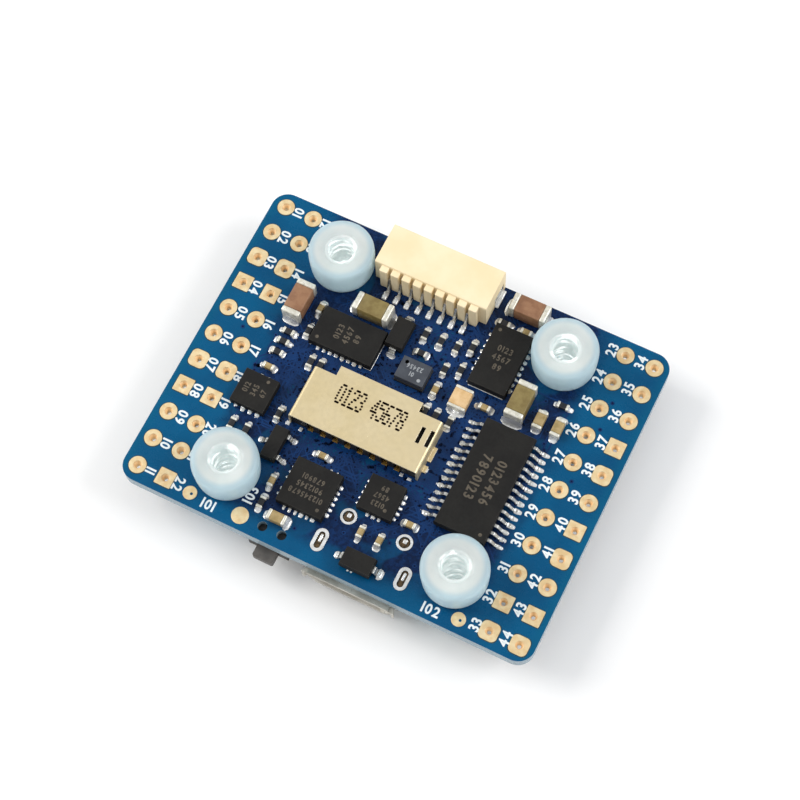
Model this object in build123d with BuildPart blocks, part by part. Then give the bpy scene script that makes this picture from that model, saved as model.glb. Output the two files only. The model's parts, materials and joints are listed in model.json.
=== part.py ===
"""Flight controller board: a 36 x 28 mm circuit board on four silicone grommets.

Millimetres. The origin is the centre of the 20 x 20 mm grommet pattern, on the plane of the
grommets' lower faces. +X runs along the board's long side, +Y points to the edge with the
8-way connector, and +Z points up, from the processor side to the connector side.
"""

import os
from math import cos, radians, sin

from build123d import *

os.makedirs("parts", exist_ok=True)

# Board
board_length = 36.0
board_width = 28.0
board_thickness = 1.2
board_corner = 1.4

# Grommets: one soft spool in each corner of a standard pattern
grommet_spacing_x = 20.0
grommet_spacing_y = 20.0
grommet_height = 3.1  # how far each one stands above and below the board
grommet_hole_radius = 2.0  # the board's hole
grommet_neck_gap = 0.05
grommet_radius = 2.72
grommet_foot_radius = 2.62
grommet_edge = 0.45
grommet_bore_radius = 1.1
grommet_mouth_radius = 1.35
grommet_mouth_depth = 0.25

# Plated solder pads along the two short sides
pad_pitch = 2.54
pad_rows = 11
pad_edge_distance = 1.24  # from the board's end to the outer column
round_pad = 1.44
ground_pad = 1.53
ground_pad_corner = 0.45
supply_pad = 1.42
supply_pad_corner = 0.08
pad_hole_radius = 0.42  # drilled in the board
barrel_wall = 0.07
plating_gap = 0.01
copper = 0.05

# Test pads
test_pad_radius = 0.58
blank_pad_radius = 0.71
test_via_radius = 0.12
test_via_offset = (0.15, -0.02)

# 8-way side-entry connector, 1.0 mm pitch
connector_ways = 8
connector_pitch = 1.0
connector_centre_x = -2.1
connector_end_margin = 1.5  # from the last pin to the housing's end
connector_depth = 4.25
connector_height = 2.95
connector_wall = 0.55  # at both ends
connector_mouth_wall = 0.45  # above and below the mouth
connector_tooth = 0.7
connector_tooth_depth = 0.55
connector_tooth_drop = 0.16  # how far the teeth stop below the top
connector_tooth_edge = 0.1
connector_pin = 0.2
connector_foot = 0.75
connector_rear_wall = 1.3  # solid plastic behind the plug's mouth
connector_pin_level = 1.3  # the pins' height over the board
connector_pin_setback = 0.9  # from the back edge to the pins' tips
connector_pin_bend = 0.15  # where each pin starts down, inside the rear face
connector_pin_drop = 0.3  # how far behind the rear face it lands
connector_tab = (0.2, 1.5, 1.2)  # sheet, length along Y, height
connector_tab_foot = 0.45
connector_tab_inset = 0.1
connector_tab_y = 1.2  # from the back edge
connector_edge = 0.12
slide_gap = 0.01  # between a metal part and the plastic it is pressed into

# Short-body card socket
socket_centre_x = -1.85
socket_front_y = -4.2
socket_width = 11.4
socket_depth = 5.53
socket_height = 1.75
socket_sheet = 0.15
socket_base_height = 0.95
socket_gap = 0.03
socket_bend = 0.28
socket_left_step = (1.95, 0.89)  # width and depth of the back left cut-out
socket_right_step = (2.15, 0.8)
socket_contacts = 8
socket_contact_pitch = 1.1
socket_contact_width = 0.45
socket_contact_gap = 0.05
socket_contact_sheet = 0.12
socket_contact_rise = 0.3  # how far each spring stands up over the base
socket_slot_end = 1.2  # solid base behind the springs' slots
socket_base_setback = 0.12
socket_stop_wall = 0.5
latch_slot = (0.33, 1.45)  # width and length of the two slots beside the card latch
latch_insets = (1.16, 0.36)  # from the shell's right side to the two slots
latch_slot_y = 3.0  # from the shell's front
socket_feet = ((2.45, 1.3), (1.1, 0.6))  # distance from the shell's front, length
socket_foot_reach = 0.3

# Micro-USB socket under the front edge
usb_centre_x = 2.78
usb_front = 0.45  # how far the lip stands out past the board's edge
usb_length = 5.35
usb_width = 7.5
usb_height = 2.35
usb_sheet = 0.25
usb_flare = 0.3  # at the mouth's two sides
usb_level_flare = 0.15  # at its top and bottom
usb_lower_setback = 0.25  # how far the lower lip stops behind the upper one
usb_lip = 0.65
usb_leg_spacing = 7.25
usb_leg_y = 2.1  # from the board's front edge
usb_post_spacing = 4.9
usb_post_y = 4.8
usb_contact_pitch = 0.65
usb_contacts_count = 5
usb_contact = (0.25, 0.08)  # width and thickness
usb_contact_setback = 1.15  # from the mouth to the contacts' tips
usb_contact_leg = 0.14
usb_contact_foot = 0.6
usb_waist = 0.55  # share of the height before the sides slope in
usb_taper = 0.95  # how far each side slopes in
usb_lip_split = (0.7, 0.45)  # width and height of the cut at the lip's upper corners
usb_tongue_side = 1.6  # from the shell's side to the tongue
usb_tongue_thickness = 0.6
usb_tongue_drop = 1.15  # from the board's underside to the tongue's lower face
usb_tongue_setback = 0.9  # from the mouth to the tongue's tip
usb_block = 1.6  # the solid rear part of the plastic

# Side-push button under the front edge
button_centre_x = -4.55
button_width = 3.5
button_depth = 2.8
button_height = 1.4
button_setback = 0.1
button_wall = 0.3
button_cover_sheet = 0.12
plunger_width = 1.75
plunger_height = 0.85
plunger_reach = 0.95  # past the board's edge
plunger_shoulder = 0.33  # how far the shoulder stands out on each side
plunger_shoulder_depth = 0.5
plunger_gap = 0.05
plunger_tip_edge = 0.16
plunger_root = 0.1  # how far the stem runs into the shoulder
button_travel = 0.2
button_rear_wall = 0.55
button_wing = 1.4  # length of the cover's side wings and feet
button_foot = 0.6
dome_bow = 0.3
dome_thickness = 0.06
dome_side_gap = 0.2
dome_edge_gap = 0.05
peg_spacing = 1.7
peg_radius = 0.33
peg_hole_radius = 0.4
peg_y = 1.12  # from the board's front edge

# Chips: length along X, width along Y, height
video_body = (4.4, 9.7, 1.05)
video_centre = (8.8, -2.1)
video_span = 6.6
video_pitch = 0.65
video_leads_per_side = 14
processor_body = 14.0
processor_height = 1.45
processor_span = 16.0
processor_pitch = 0.5
processor_leads_per_side = 25
processor_centre = (0.0, 0.3)
sensor_large_size = 4.0
sensor_large_centre = (-3.35, -8.65)
sensor_small_size = 3.0
sensor_small_centre = (2.08, -6.87)
sensor_height = 0.9
regulator_length = 5.6
regulator_width = 3.3
regulator_height = 0.9
regulator_left_centre = (-6.55, 4.22)
regulator_right_centre = (5.45, 7.75)
switch_size = 3.0
switch_height = 0.8
switch_centre = (-11.15, -3.25)
terminal_height = 0.2
terminal_proud = 0.03
chip_edge = 0.04
moulding_draft = 8.0  # degrees
chip_standoff = 0.1  # from the board to a leaded chip's underside
video_lead_size = (0.24, 0.14, 0.5)  # width, thickness, foot
processor_lead_size = (0.22, 0.14, 0.5)
# Leadless chips: terminals along Y and along X, pitch, terminal width and length, heat pad share
sensor_large_terminals = ((6, 6), 0.5, 0.25, 0.4, 0.6)
sensor_small_terminals = ((5, 3), 0.5, 0.25, 0.35, 0.6)
regulator_terminal_rows = ((0, 8), 0.55, 0.28, 0.4, 0.5)
switch_terminals = ((0, 4), 0.65, 0.3, 0.4, 0.6)

# Pressure sensor
pressure_length = 2.6
pressure_width = 2.05
pressure_height = 1.0
pressure_base = 0.3
pressure_centre = (-0.4, 3.7)
pressure_port_radius = 0.17
pressure_port_inset = 0.5  # from the lid's back left corner, both ways
pressure_lid_inset = 0.05
pressure_lid_wall = 0.15
pressure_lid_edge = 0.06

# Two-lead and three-lead moulded parts
diode_body = (2.65, 1.6, 1.1)
diode_span = 3.85
diode_lead_size = (0.55, 0.12, 0.28)  # width, thickness, foot
transistor_body = (1.3, 2.9, 1.0)
transistor_span = 2.7
transistor_pitch = 1.9
transistor_lead_size = (0.4, 0.13, 0.35)
small_standoff = 0.05

# Two-ended chip parts: length, width, height, end length
bulk_size = (3.2, 1.62, 1.62, 0.5)
filter_size = (1.95, 1.55, 1.0, 0.28)
medium_size = (1.6, 0.86, 0.8, 0.3)
small_size = (1.0, 0.52, 0.5, 0.24)
resistor_size = (1.0, 0.52, 0.36, 0.22)
led_size = (1.6, 0.8, 0.6, 0.3)
end_wrap = 0.02  # how much an end stands out round its body

# Underside power inductors and crystal
inductor_size = (4.0, 4.0, 2.1)
inductor_end = (0.25, 2.4, 0.4)
inductor_corner = 0.4
inductor_edge = 0.12
crystal_size = (3.2, 2.5, 0.8)
crystal_base_height = 0.35
crystal_lid_margin = 0.2
crystal_corner = 0.3

# Levels and edges
board_bottom = grommet_height
board_top = board_bottom + board_thickness
front_edge = -board_width / 2
back_edge = board_width / 2
flat, turned, reversed_turn = 0, 90, -90

# Where the repeated small parts stand: x, y, turn. Those near the front edge keep their
# distance to it.
bulk_brown_spots = [(-11.56, 5.27, turned), (5.75, 12.58, flat)]
bulk_gold_spots = [(-5.73, 7.17, flat), (8.45, 5.07, turned)]
filter_spots = [(4.0, 3.3, turned)]
medium_spots = [
    (10.43, 4.48, turned),
    (12.0, 4.48, turned),
    (-4.6, front_edge + 2.12, flat),
]
small_cap_spots = [
    (-9.8, 5.63, turned),
    (-11.26, -0.76, flat),
    (-3.79, -5.68, flat),
    (-6.43, -9.28, turned),
    (4.99, -7.79, flat),
    (1.8, front_edge + 4.0, turned),
    (3.44, front_edge + 4.0, turned),
    (5.98, 3.6, flat),
    (1.75, 3.25, turned),
    (6.2, 10.95, flat),
]
resistor_spots = [
    (-11.25, 2.68, flat),
    (-11.25, 1.75, flat),
    (-11.25, 0.72, flat),
    (-9.8, 3.45, turned),
    (-8.4, 1.12, turned),
    (-7.55, 1.12, turned),
    (-1.08, 7.3, turned),
    (0.32, 7.3, turned),
    (1.72, 7.35, turned),
    (2.87, 7.9, turned),
    (2.87, 5.7, turned),
    (1.67, 5.2, turned),
    (-0.68, 5.67, flat),
    (4.0, 1.22, turned),
    (1.8, 1.28, turned),
    (2.75, 1.28, turned),
    (-11.65, -6.35, turned),
    (-10.35, -6.35, turned),
    (-8.6, -4.0, turned),
    (-6.37, front_edge + 2.8, turned),
    (11.55, 6.47, flat),
    (4.25, 10.95, flat),
]
diode_spots = [(2.8, front_edge + 1.62, flat), (-2.85, 6.25, turned)]
transistor_centre = (-7.6, -6.5)
lower_cap_spots = [
    (-10.2, 5.2, turned),
    (-9.2, 5.2, turned),
    (-10.2, 1.4, turned),
    (-9.2, 1.4, turned),
    (-9.2, -2.6, turned),
    (9.2, 4.6, turned),
    (9.2, 1.2, turned),
    (9.2, -2.4, turned),
    (10.2, -2.4, turned),
    (2.2, 9.2, flat),
    (-2.2, 9.2, flat),
]
lower_resistor_spots = [
    (-11.4, 4.2, turned),
    (-11.4, 2.2, turned),
    (-11.4, -0.4, turned),
    (-11.4, -2.8, turned),
    (11.4, 3.4, turned),
    (11.4, 1.0, turned),
    (11.4, -1.4, turned),
]
led_line = front_edge + 0.8
led_spots = [(8.4, led_line, flat), (10.6, led_line, flat), (12.8, led_line, flat)]
inductor_spots = [(-4.9, back_edge - 2.6, flat), (4.9, back_edge - 2.6, flat)]
crystal_centre = (0.0, back_edge - 2.4)

# Pad columns, from the back row to the front row: R round, G ground, P supply
left_outer_pads = "RRGPRRGPRRR"
left_inner_pads = "RRGPRRGPRRP"
right_inner_pads = "RRRRRRRRRPG"
right_outer_pads = "RRRPGRPGRPG"
outer_column = board_length / 2 - pad_edge_distance
inner_column = outer_column - pad_pitch
row_heights = [((pad_rows - 1) / 2 - row) * pad_pitch for row in range(pad_rows)]


def column_spots(column_x, kinds, wanted):
    """Pad centres in one column whose kind is the wanted one."""
    return [(column_x, y) for y, kind in zip(row_heights, kinds) if kind == wanted]


left_round_spots = column_spots(-outer_column, left_outer_pads, "R")
left_round_spots += column_spots(-inner_column, left_inner_pads, "R")
right_round_spots = column_spots(outer_column, right_outer_pads, "R")
right_round_spots += column_spots(inner_column, right_inner_pads, "R")
pad_columns = [
    (-outer_column, left_outer_pads),
    (-inner_column, left_inner_pads),
    (inner_column, right_inner_pads),
    (outer_column, right_outer_pads),
]
ground_spots = [spot for x, kinds in pad_columns for spot in column_spots(x, kinds, "G")]
supply_spots = [spot for x, kinds in pad_columns for spot in column_spots(x, kinds, "P")]
all_pad_spots = left_round_spots + right_round_spots + ground_spots + supply_spots
via_test_spots = [(-11.86, front_edge + 1.05), (11.7, front_edge + 1.1)]
test_vias = [(x + test_via_offset[0], y + test_via_offset[1]) for x, y in via_test_spots]
blank_test_spots = [(-7.4, front_edge + 1.13)]

grommet_spots = {
    "grommet_front_left": (-grommet_spacing_x / 2, -grommet_spacing_y / 2),
    "grommet_front_right": (grommet_spacing_x / 2, -grommet_spacing_y / 2),
    "grommet_back_left": (-grommet_spacing_x / 2, grommet_spacing_y / 2),
    "grommet_back_right": (grommet_spacing_x / 2, grommet_spacing_y / 2),
}

# USB legs and the slots and holes they stand in
usb_leg_width = 1.2  # along Y
usb_leg_sheet = 0.3
usb_leg_gap = 0.12
usb_post_radius = 0.35
usb_leg_rise = board_thickness - 0.15
usb_slot_length = usb_leg_width + 2 * usb_leg_gap
usb_slot_width = usb_leg_sheet + 2 * usb_leg_gap
usb_slot_rim = 0.27
usb_post_hole = usb_post_radius + usb_leg_gap
usb_post_rim = 0.2
leg_line = front_edge + usb_leg_y
post_line = front_edge + usb_post_y
leg_spots = [(usb_centre_x + side * usb_leg_spacing / 2, leg_line) for side in (-1, 1)]
post_spots = [(usb_centre_x + side * usb_post_spacing / 2, post_line) for side in (-1, 1)]
peg_line = front_edge + peg_y
peg_spots = [(button_centre_x + side * peg_spacing / 2, peg_line) for side in (-1, 1)]

pieces = {}


def at(spots, height, flip=0):
    """Places for parts given as (x, y, turn), all at one height; flip=180 hangs them below it."""
    sense = -1 if flip else 1
    return Locations(*[Location((x, y, height), (flip, 0, sense * turn)) for x, y, turn in spots])


def block(length, width, height, x=0, y=0, z=0, mode=Mode.ADD):
    """A box standing on z, centred on x and y."""
    with Locations((x, y, z)):
        Box(length, width, height, align=(Align.CENTER, Align.CENTER, Align.MIN), mode=mode)


def moulded_body(length, width, height, standoff):
    """A moulded chip body that narrows above and below its parting line."""
    parting = (height + standoff) / 2
    with BuildPart() as body:
        for amount in (height - parting, standoff - parting):
            with BuildSketch(Plane.XY.offset(parting)):
                Rectangle(length, width)
            extrude(amount=amount, taper=moulding_draft)
    return body.part


def gull_lead(reach, shoulder, width, thickness, foot):
    """A gull-wing lead along +X, from the body at x = 0 to its toe at x = reach."""
    knee = (reach - foot) * 0.45
    with BuildPart() as lead:
        with BuildSketch(Plane.XZ):
            with BuildLine():
                Polyline(
                    (0, shoulder - thickness / 2),
                    (0, shoulder + thickness / 2),
                    (knee, shoulder + thickness / 2),
                    (reach - foot + thickness / 2, thickness),
                    (reach, thickness),
                    (reach, 0),
                    (reach - foot, 0),
                    (knee - thickness / 2, shoulder - thickness / 2),
                    close=True,
                )
            make_face()
        extrude(amount=width / 2, both=True)
        bends = lead.edges().filter_by(Axis.Y).filter_by(
            lambda edge: 0.01 < edge.center().X < reach - 0.01
        )
        fillet(bends, min(thickness * 0.45, knee * 0.3))
    return lead.part


def side_row(count, pitch, distance, angle, centre=(0, 0)):
    """Spots of one row of terminals, turned to face outwards at the given angle."""
    spots = []
    for index in range(count):
        along = (index - (count - 1) / 2) * pitch
        x = centre[0] + distance * cos(radians(angle)) - along * sin(radians(angle))
        y = centre[1] + distance * sin(radians(angle)) + along * cos(radians(angle))
        spots.append((x, y, angle))
    return spots


def edge_terminal(width, length):
    """A flat terminal along +X that ends just proud of the chip's edge at x = 0."""
    with BuildPart() as terminal:
        block(length + terminal_proud, width, terminal_height, x=(terminal_proud - length) / 2)
    return terminal.part


def flat_chip(length, width, height, terminals):
    """A leadless chip: a block with its terminals let into its lower edges."""
    with BuildPart() as chip:
        block(length, width, height)
        chamfer(chip.faces().sort_by(Axis.Z)[-1].edges(), chip_edge)
        add(terminals, mode=Mode.SUBTRACT)
    return chip.part


def end_piece(size):
    """The metal end of a two-ended part, at its +X end."""
    length, width, height, end = size
    with BuildPart() as metal:
        block(end, width, height, x=(length - end) / 2)
        rounded = metal.edges().filter_by(lambda edge: edge.center().X > length / 2 - 0.01)
        fillet(rounded, min(end, height) * 0.22)
    return metal.part


def two_ends(size):
    """Both metal ends of a two-ended part."""
    metal = end_piece(size)
    with BuildPart() as ends:
        with at([(0, 0, 0), (0, 0, 180)], 0):
            add(metal)
    return ends.part


def middle(size):
    """The body of a two-ended part, between its ends and just inside them."""
    length, width, height, end = size
    with BuildPart() as body:
        block(length - 2 * end, width - 2 * end_wrap, height - 2 * end_wrap, z=end_wrap)
        fillet(body.edges().filter_by(Axis.X), height * 0.06)
    return body.part


def plated_pad(shape):
    """A pad with its plated barrel: the same outline on both faces, joined through the hole."""
    with BuildPart() as pad:
        for level in (board_top, board_bottom - copper):
            with BuildSketch(Plane.XY.offset(level)):
                shape()
            extrude(amount=copper)
        with BuildSketch(Plane.XY.offset(board_bottom - copper)):
            Circle(pad_hole_radius - plating_gap)
        extrude(amount=board_thickness + 2 * copper)
        with BuildSketch(Plane.XY.offset(board_bottom - copper)):
            Circle(pad_hole_radius - plating_gap - barrel_wall)
        extrude(amount=board_thickness + 2 * copper, mode=Mode.SUBTRACT)
    return pad.part


def keep(name, piece):
    """Name a finished piece for writing."""
    piece.part.label = name
    pieces[name] = piece


# --- Circuit board ---
with BuildPart() as circuit_board:
    with BuildSketch(Plane.XY.offset(board_bottom)):
        RectangleRounded(board_length, board_width, board_corner)
        with Locations(*all_pad_spots):
            Circle(pad_hole_radius, mode=Mode.SUBTRACT)
        with Locations(*grommet_spots.values()):
            Circle(grommet_hole_radius, mode=Mode.SUBTRACT)
        with Locations(*peg_spots):
            Circle(peg_hole_radius, mode=Mode.SUBTRACT)
        with Locations(*leg_spots):
            SlotOverall(
                usb_slot_length + 2 * plating_gap,
                usb_slot_width + 2 * plating_gap,
                rotation=turned,
                mode=Mode.SUBTRACT,
            )
        with Locations(*post_spots):
            Circle(usb_post_hole + plating_gap, mode=Mode.SUBTRACT)
    extrude(amount=board_thickness)
keep("circuit_board", circuit_board)


# --- Plated pads ---
def round_outline():
    Circle(round_pad / 2)


def ground_outline():
    RectangleRounded(ground_pad, ground_pad, ground_pad_corner)


def supply_outline():
    RectangleRounded(supply_pad, supply_pad, supply_pad_corner)


round_rivet = plated_pad(round_outline)
ground_rivet = plated_pad(ground_outline)
supply_rivet = plated_pad(supply_outline)

with BuildPart() as signal_pads_left:
    with Locations(*left_round_spots):
        add(round_rivet)
keep("signal_pads_left", signal_pads_left)

with BuildPart() as signal_pads_right:
    with Locations(*right_round_spots):
        add(round_rivet)
keep("signal_pads_right", signal_pads_right)

with BuildPart() as ground_pads:
    with Locations(*ground_spots):
        add(ground_rivet)
keep("ground_pads", ground_pads)

with BuildPart() as supply_pads:
    with Locations(*supply_spots):
        add(supply_rivet)
keep("supply_pads", supply_pads)

with BuildPart() as test_pads:
    with BuildSketch(Plane.XY.offset(board_top)):
        with Locations(*via_test_spots):
            Circle(test_pad_radius)
        with Locations(*test_vias):
            Circle(test_via_radius, mode=Mode.SUBTRACT)
        with Locations(*blank_test_spots):
            Circle(blank_pad_radius)
    extrude(amount=copper)
keep("test_pads", test_pads)

slot_pad_length = usb_slot_length + 2 * usb_slot_rim
slot_pad_width = usb_slot_width + 2 * usb_slot_rim
with BuildPart() as shell_tab_pads:
    for level in (board_top, board_bottom - copper):
        with BuildSketch(Plane.XY.offset(level)):
            with Locations(*leg_spots):
                SlotOverall(slot_pad_length, slot_pad_width, rotation=turned)
                SlotOverall(usb_slot_length, usb_slot_width, rotation=turned, mode=Mode.SUBTRACT)
            with Locations(*post_spots):
                Circle(usb_post_hole + usb_post_rim)
                Circle(usb_post_hole, mode=Mode.SUBTRACT)
        extrude(amount=copper)
keep("shell_tab_pads", shell_tab_pads)

# --- Silicone grommets ---
for grommet_name, (grommet_x, grommet_y) in grommet_spots.items():
    with BuildPart() as grommet:
        with BuildSketch(Plane.XZ) as half_profile:
            for side in (1, -1):
                foot = board_top if side > 0 else board_bottom
                with BuildLine():
                    Polyline(
                        (grommet_bore_radius, foot),
                        (grommet_foot_radius, foot),
                        (grommet_radius, foot + side * grommet_height * 0.55),
                        (grommet_radius, foot + side * grommet_height),
                        (grommet_mouth_radius, foot + side * grommet_height),
                        (grommet_bore_radius, foot + side * (grommet_height - grommet_mouth_depth)),
                        close=True,
                    )
                make_face()
            rims = half_profile.vertices().filter_by(
                lambda corner: corner.X > grommet_radius - 0.01
                and (corner.Y > board_top + grommet_height - 0.01 or corner.Y < 0.01)
            )
            fillet(rims, grommet_edge)
            neck_width = grommet_hole_radius - grommet_neck_gap - grommet_bore_radius
            with Locations((grommet_bore_radius + neck_width / 2, (board_top + board_bottom) / 2)):
                Rectangle(neck_width, board_thickness)
        revolve(axis=Axis.Z)
        grommet.part.position = (grommet_x, grommet_y, 0)
    keep(grommet_name, grommet)

# --- 8-way connector ---
connector_length = (connector_ways - 1) * connector_pitch + 2 * connector_end_margin
connector_rear = back_edge - connector_depth
connector_mid_y = (back_edge + connector_rear) / 2
mouth_depth = connector_depth - connector_rear_wall
pin_xs = [
    connector_centre_x + (way - (connector_ways - 1) / 2) * connector_pitch
    for way in range(connector_ways)
]
tooth_xs = [
    connector_centre_x + (index - connector_ways / 2) * connector_pitch
    for index in range(connector_ways + 1)
]
body_rear = connector_rear + connector_tooth_depth
tab_sheet, tab_length, tab_height = connector_tab
pin_channel = connector_pin + 2 * slide_gap
with BuildPart() as one_tooth:
    block(
        connector_tooth,
        connector_tooth_depth + connector_tooth_edge,
        connector_height - connector_tooth_drop,
        y=connector_rear + (connector_tooth_depth + connector_tooth_edge) / 2,
        z=board_top,
    )
    rear_edges = one_tooth.faces().sort_by(Axis.Y)[0].edges()
    fillet(rear_edges.filter_by(Axis.Z), connector_tooth_edge)
    tooth_top = one_tooth.faces().sort_by(Axis.Z)[-1].edges().sort_by(Axis.Y)[0]
    fillet(tooth_top, connector_tooth_edge / 2)

with BuildPart() as connector_housing:
    block(
        connector_length,
        back_edge - body_rear,
        connector_height,
        x=connector_centre_x,
        y=(back_edge + body_rear) / 2,
        z=board_top,
    )
    top_edges = connector_housing.faces().sort_by(Axis.Z)[-1].edges().filter_by(Axis.X)
    fillet(top_edges, connector_edge)
    # The plug's mouth in the back face
    block(
        connector_length - 2 * connector_wall,
        mouth_depth,
        connector_height - 2 * connector_mouth_wall,
        x=connector_centre_x,
        y=back_edge - mouth_depth / 2,
        z=board_top + connector_mouth_wall,
        mode=Mode.SUBTRACT,
    )
    # Teeth on the rear face, with a pin in each gap between them
    with Locations(*[(tooth_x, 0, 0) for tooth_x in tooth_xs]):
        add(one_tooth.part)
    for pin_x in pin_xs:
        block(
            pin_channel,
            connector_depth,
            pin_channel,
            x=pin_x,
            y=connector_mid_y,
            z=board_top + connector_pin_level - slide_gap,
            mode=Mode.SUBTRACT,
        )
    # Tab pockets at both ends
    for side in (-1, 1):
        block(
            tab_sheet + 0.12,
            tab_length + 0.2,
            tab_height + 0.2,
            x=connector_centre_x + side * (connector_length / 2 - connector_tab_inset),
            y=back_edge - connector_tab_y,
            z=board_top,
            mode=Mode.SUBTRACT,
        )
keep("connector_housing", connector_housing)

pin_tip = back_edge - connector_pin_setback
pin_bend = connector_rear + connector_pin_bend
pin_landing = connector_rear - connector_pin_drop
with BuildPart() as one_pin:
    with BuildSketch(Plane.YZ):
        with BuildLine():
            Polyline(
                (pin_tip, connector_pin_level),
                (pin_tip, connector_pin_level + connector_pin),
                (pin_bend, connector_pin_level + connector_pin),
                (pin_landing, connector_pin),
                (pin_landing - connector_foot, connector_pin),
                (pin_landing - connector_foot, 0),
                (pin_landing + connector_pin, 0),
                (pin_bend + connector_pin, connector_pin_level),
                close=True,
            )
        make_face()
    extrude(amount=connector_pin / 2, both=True)
with BuildPart() as connector_pins:
    with Locations(*[(pin_x, 0, board_top) for pin_x in pin_xs]):
        add(one_pin.part)
keep("connector_pins", connector_pins)

with BuildPart() as connector_tabs:
    for side in (-1, 1):
        tab_x = connector_centre_x + side * (connector_length / 2 - connector_tab_inset)
        tab_y = back_edge - connector_tab_y
        foot_x = tab_x + side * (connector_tab_foot - tab_sheet) / 2
        block(tab_sheet, tab_length, tab_height, x=tab_x, y=tab_y, z=board_top)
        block(connector_tab_foot, tab_length, tab_sheet, x=foot_x, y=tab_y, z=board_top)
keep("connector_tabs", connector_tabs)

# --- Card socket ---
socket_back = socket_front_y + socket_depth
socket_mid_y = (socket_front_y + socket_back) / 2
latch_width, latch_length = latch_slot
latch_xs = [socket_centre_x + socket_width / 2 - inset for inset in latch_insets]
with BuildPart() as card_socket_shell:
    block(socket_width, socket_depth, socket_height, x=socket_centre_x, y=socket_mid_y, z=board_top)
    fillet(
        card_socket_shell.faces().sort_by(Axis.Z)[-1].edges().filter_by(Axis.Y),
        socket_bend,
    )
    block(
        socket_width - 2 * socket_sheet,
        socket_depth - socket_sheet,
        socket_height - socket_sheet,
        x=socket_centre_x,
        y=socket_mid_y - socket_sheet / 2,
        z=board_top,
        mode=Mode.SUBTRACT,
    )
    # Stepped back corners
    for side, (step_width, step_depth) in ((-1, socket_left_step), (1, socket_right_step)):
        corner_x = socket_centre_x + side * (socket_width - step_width) / 2
        block(
            step_width,
            step_depth,
            socket_height,
            x=corner_x,
            y=socket_back - step_depth / 2,
            z=board_top,
            mode=Mode.SUBTRACT,
        )
    # Card latch: a tongue between two slots
    for latch_x in latch_xs:
        block(
            latch_width,
            latch_length,
            socket_height,
            x=latch_x,
            y=socket_front_y + latch_slot_y,
            z=board_top + socket_height / 2,
            mode=Mode.SUBTRACT,
        )
    # Solder feet turned out at both sides
    for side in (-1, 1):
        foot_x = socket_centre_x + side * (socket_width + socket_foot_reach - slide_gap) / 2
        for foot_y, foot_length in socket_feet:
            block(
                socket_foot_reach + slide_gap,
                foot_length,
                socket_sheet,
                x=foot_x,
                y=socket_front_y + foot_y,
                z=board_top,
            )
keep("card_socket_shell", card_socket_shell)

base_inset = socket_sheet + socket_gap
base_width = socket_width - 2 * base_inset
base_front = socket_front_y + socket_base_setback
base_back = socket_back - max(socket_left_step[1], socket_right_step[1]) - socket_gap
base_depth = base_back - base_front
base_mid_y = (base_front + base_back) / 2
contact_xs = [
    socket_centre_x + (index - (socket_contacts - 1) / 2) * socket_contact_pitch
    for index in range(socket_contacts)
]
contact_slot = socket_contact_width + 2 * socket_contact_gap
with BuildPart() as card_socket_base:
    block(
        base_width,
        base_depth,
        socket_base_height,
        x=socket_centre_x,
        y=base_mid_y,
        z=board_top,
    )
    # The wall that stops the card
    block(
        base_width,
        socket_stop_wall,
        socket_height - socket_sheet - socket_gap,
        x=socket_centre_x,
        y=base_back - socket_stop_wall / 2,
        z=board_top,
    )
    for contact_x in contact_xs:
        block(
            contact_slot,
            base_depth - socket_slot_end,
            socket_base_height,
            x=contact_x,
            y=base_mid_y - socket_slot_end / 2,
            z=board_top,
            mode=Mode.SUBTRACT,
        )
keep("card_socket_base", card_socket_base)

sheet = socket_contact_sheet
spring_crown = (base_back - socket_slot_end - 1.0, socket_base_height + socket_contact_rise)
spring_end = (base_back - socket_slot_end - 0.2, socket_base_height - sheet)
spring_foot = base_front + 0.5
contact_toe = base_front - 0.1
with BuildPart() as one_contact:
    with BuildSketch(Plane.YZ):
        with BuildLine():
            Polyline(
                (contact_toe, 0),
                (contact_toe, sheet),
                (spring_foot, sheet),
                spring_crown,
                spring_end,
                (spring_end[0], spring_end[1] - sheet),
                (spring_crown[0], spring_crown[1] - sheet),
                (spring_foot + sheet, 0),
                close=True,
            )
        make_face()
    extrude(amount=socket_contact_width / 2, both=True)
with BuildPart() as card_socket_contacts:
    with Locations(*[(contact_x, 0, board_top) for contact_x in contact_xs]):
        add(one_contact.part)
keep("card_socket_contacts", card_socket_contacts)


# --- Micro-USB socket ---
def usb_outline(grow, rise):
    """The socket's section, wide beside the board and narrower below: sides grow, levels rise."""
    half = usb_width / 2 + grow
    top = rise
    waist = -usb_height * usb_waist
    floor = -usb_height - rise
    narrow = usb_width / 2 - usb_taper + grow
    Polygon(
        (-half, top),
        (half, top),
        (half, waist),
        (narrow, floor),
        (-narrow, floor),
        (-half, waist),
        align=None,
    )


usb_mouth = front_edge - usb_front
usb_rear = usb_mouth + usb_length
usb_lip_back = usb_mouth + usb_lip
usb_top = board_bottom - copper


def usb_plane(y):
    """A plane across the socket at y, with local x along X and local y up."""
    return Plane(origin=(usb_centre_x, y, usb_top), x_dir=(1, 0, 0), z_dir=(0, -1, 0))


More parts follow.
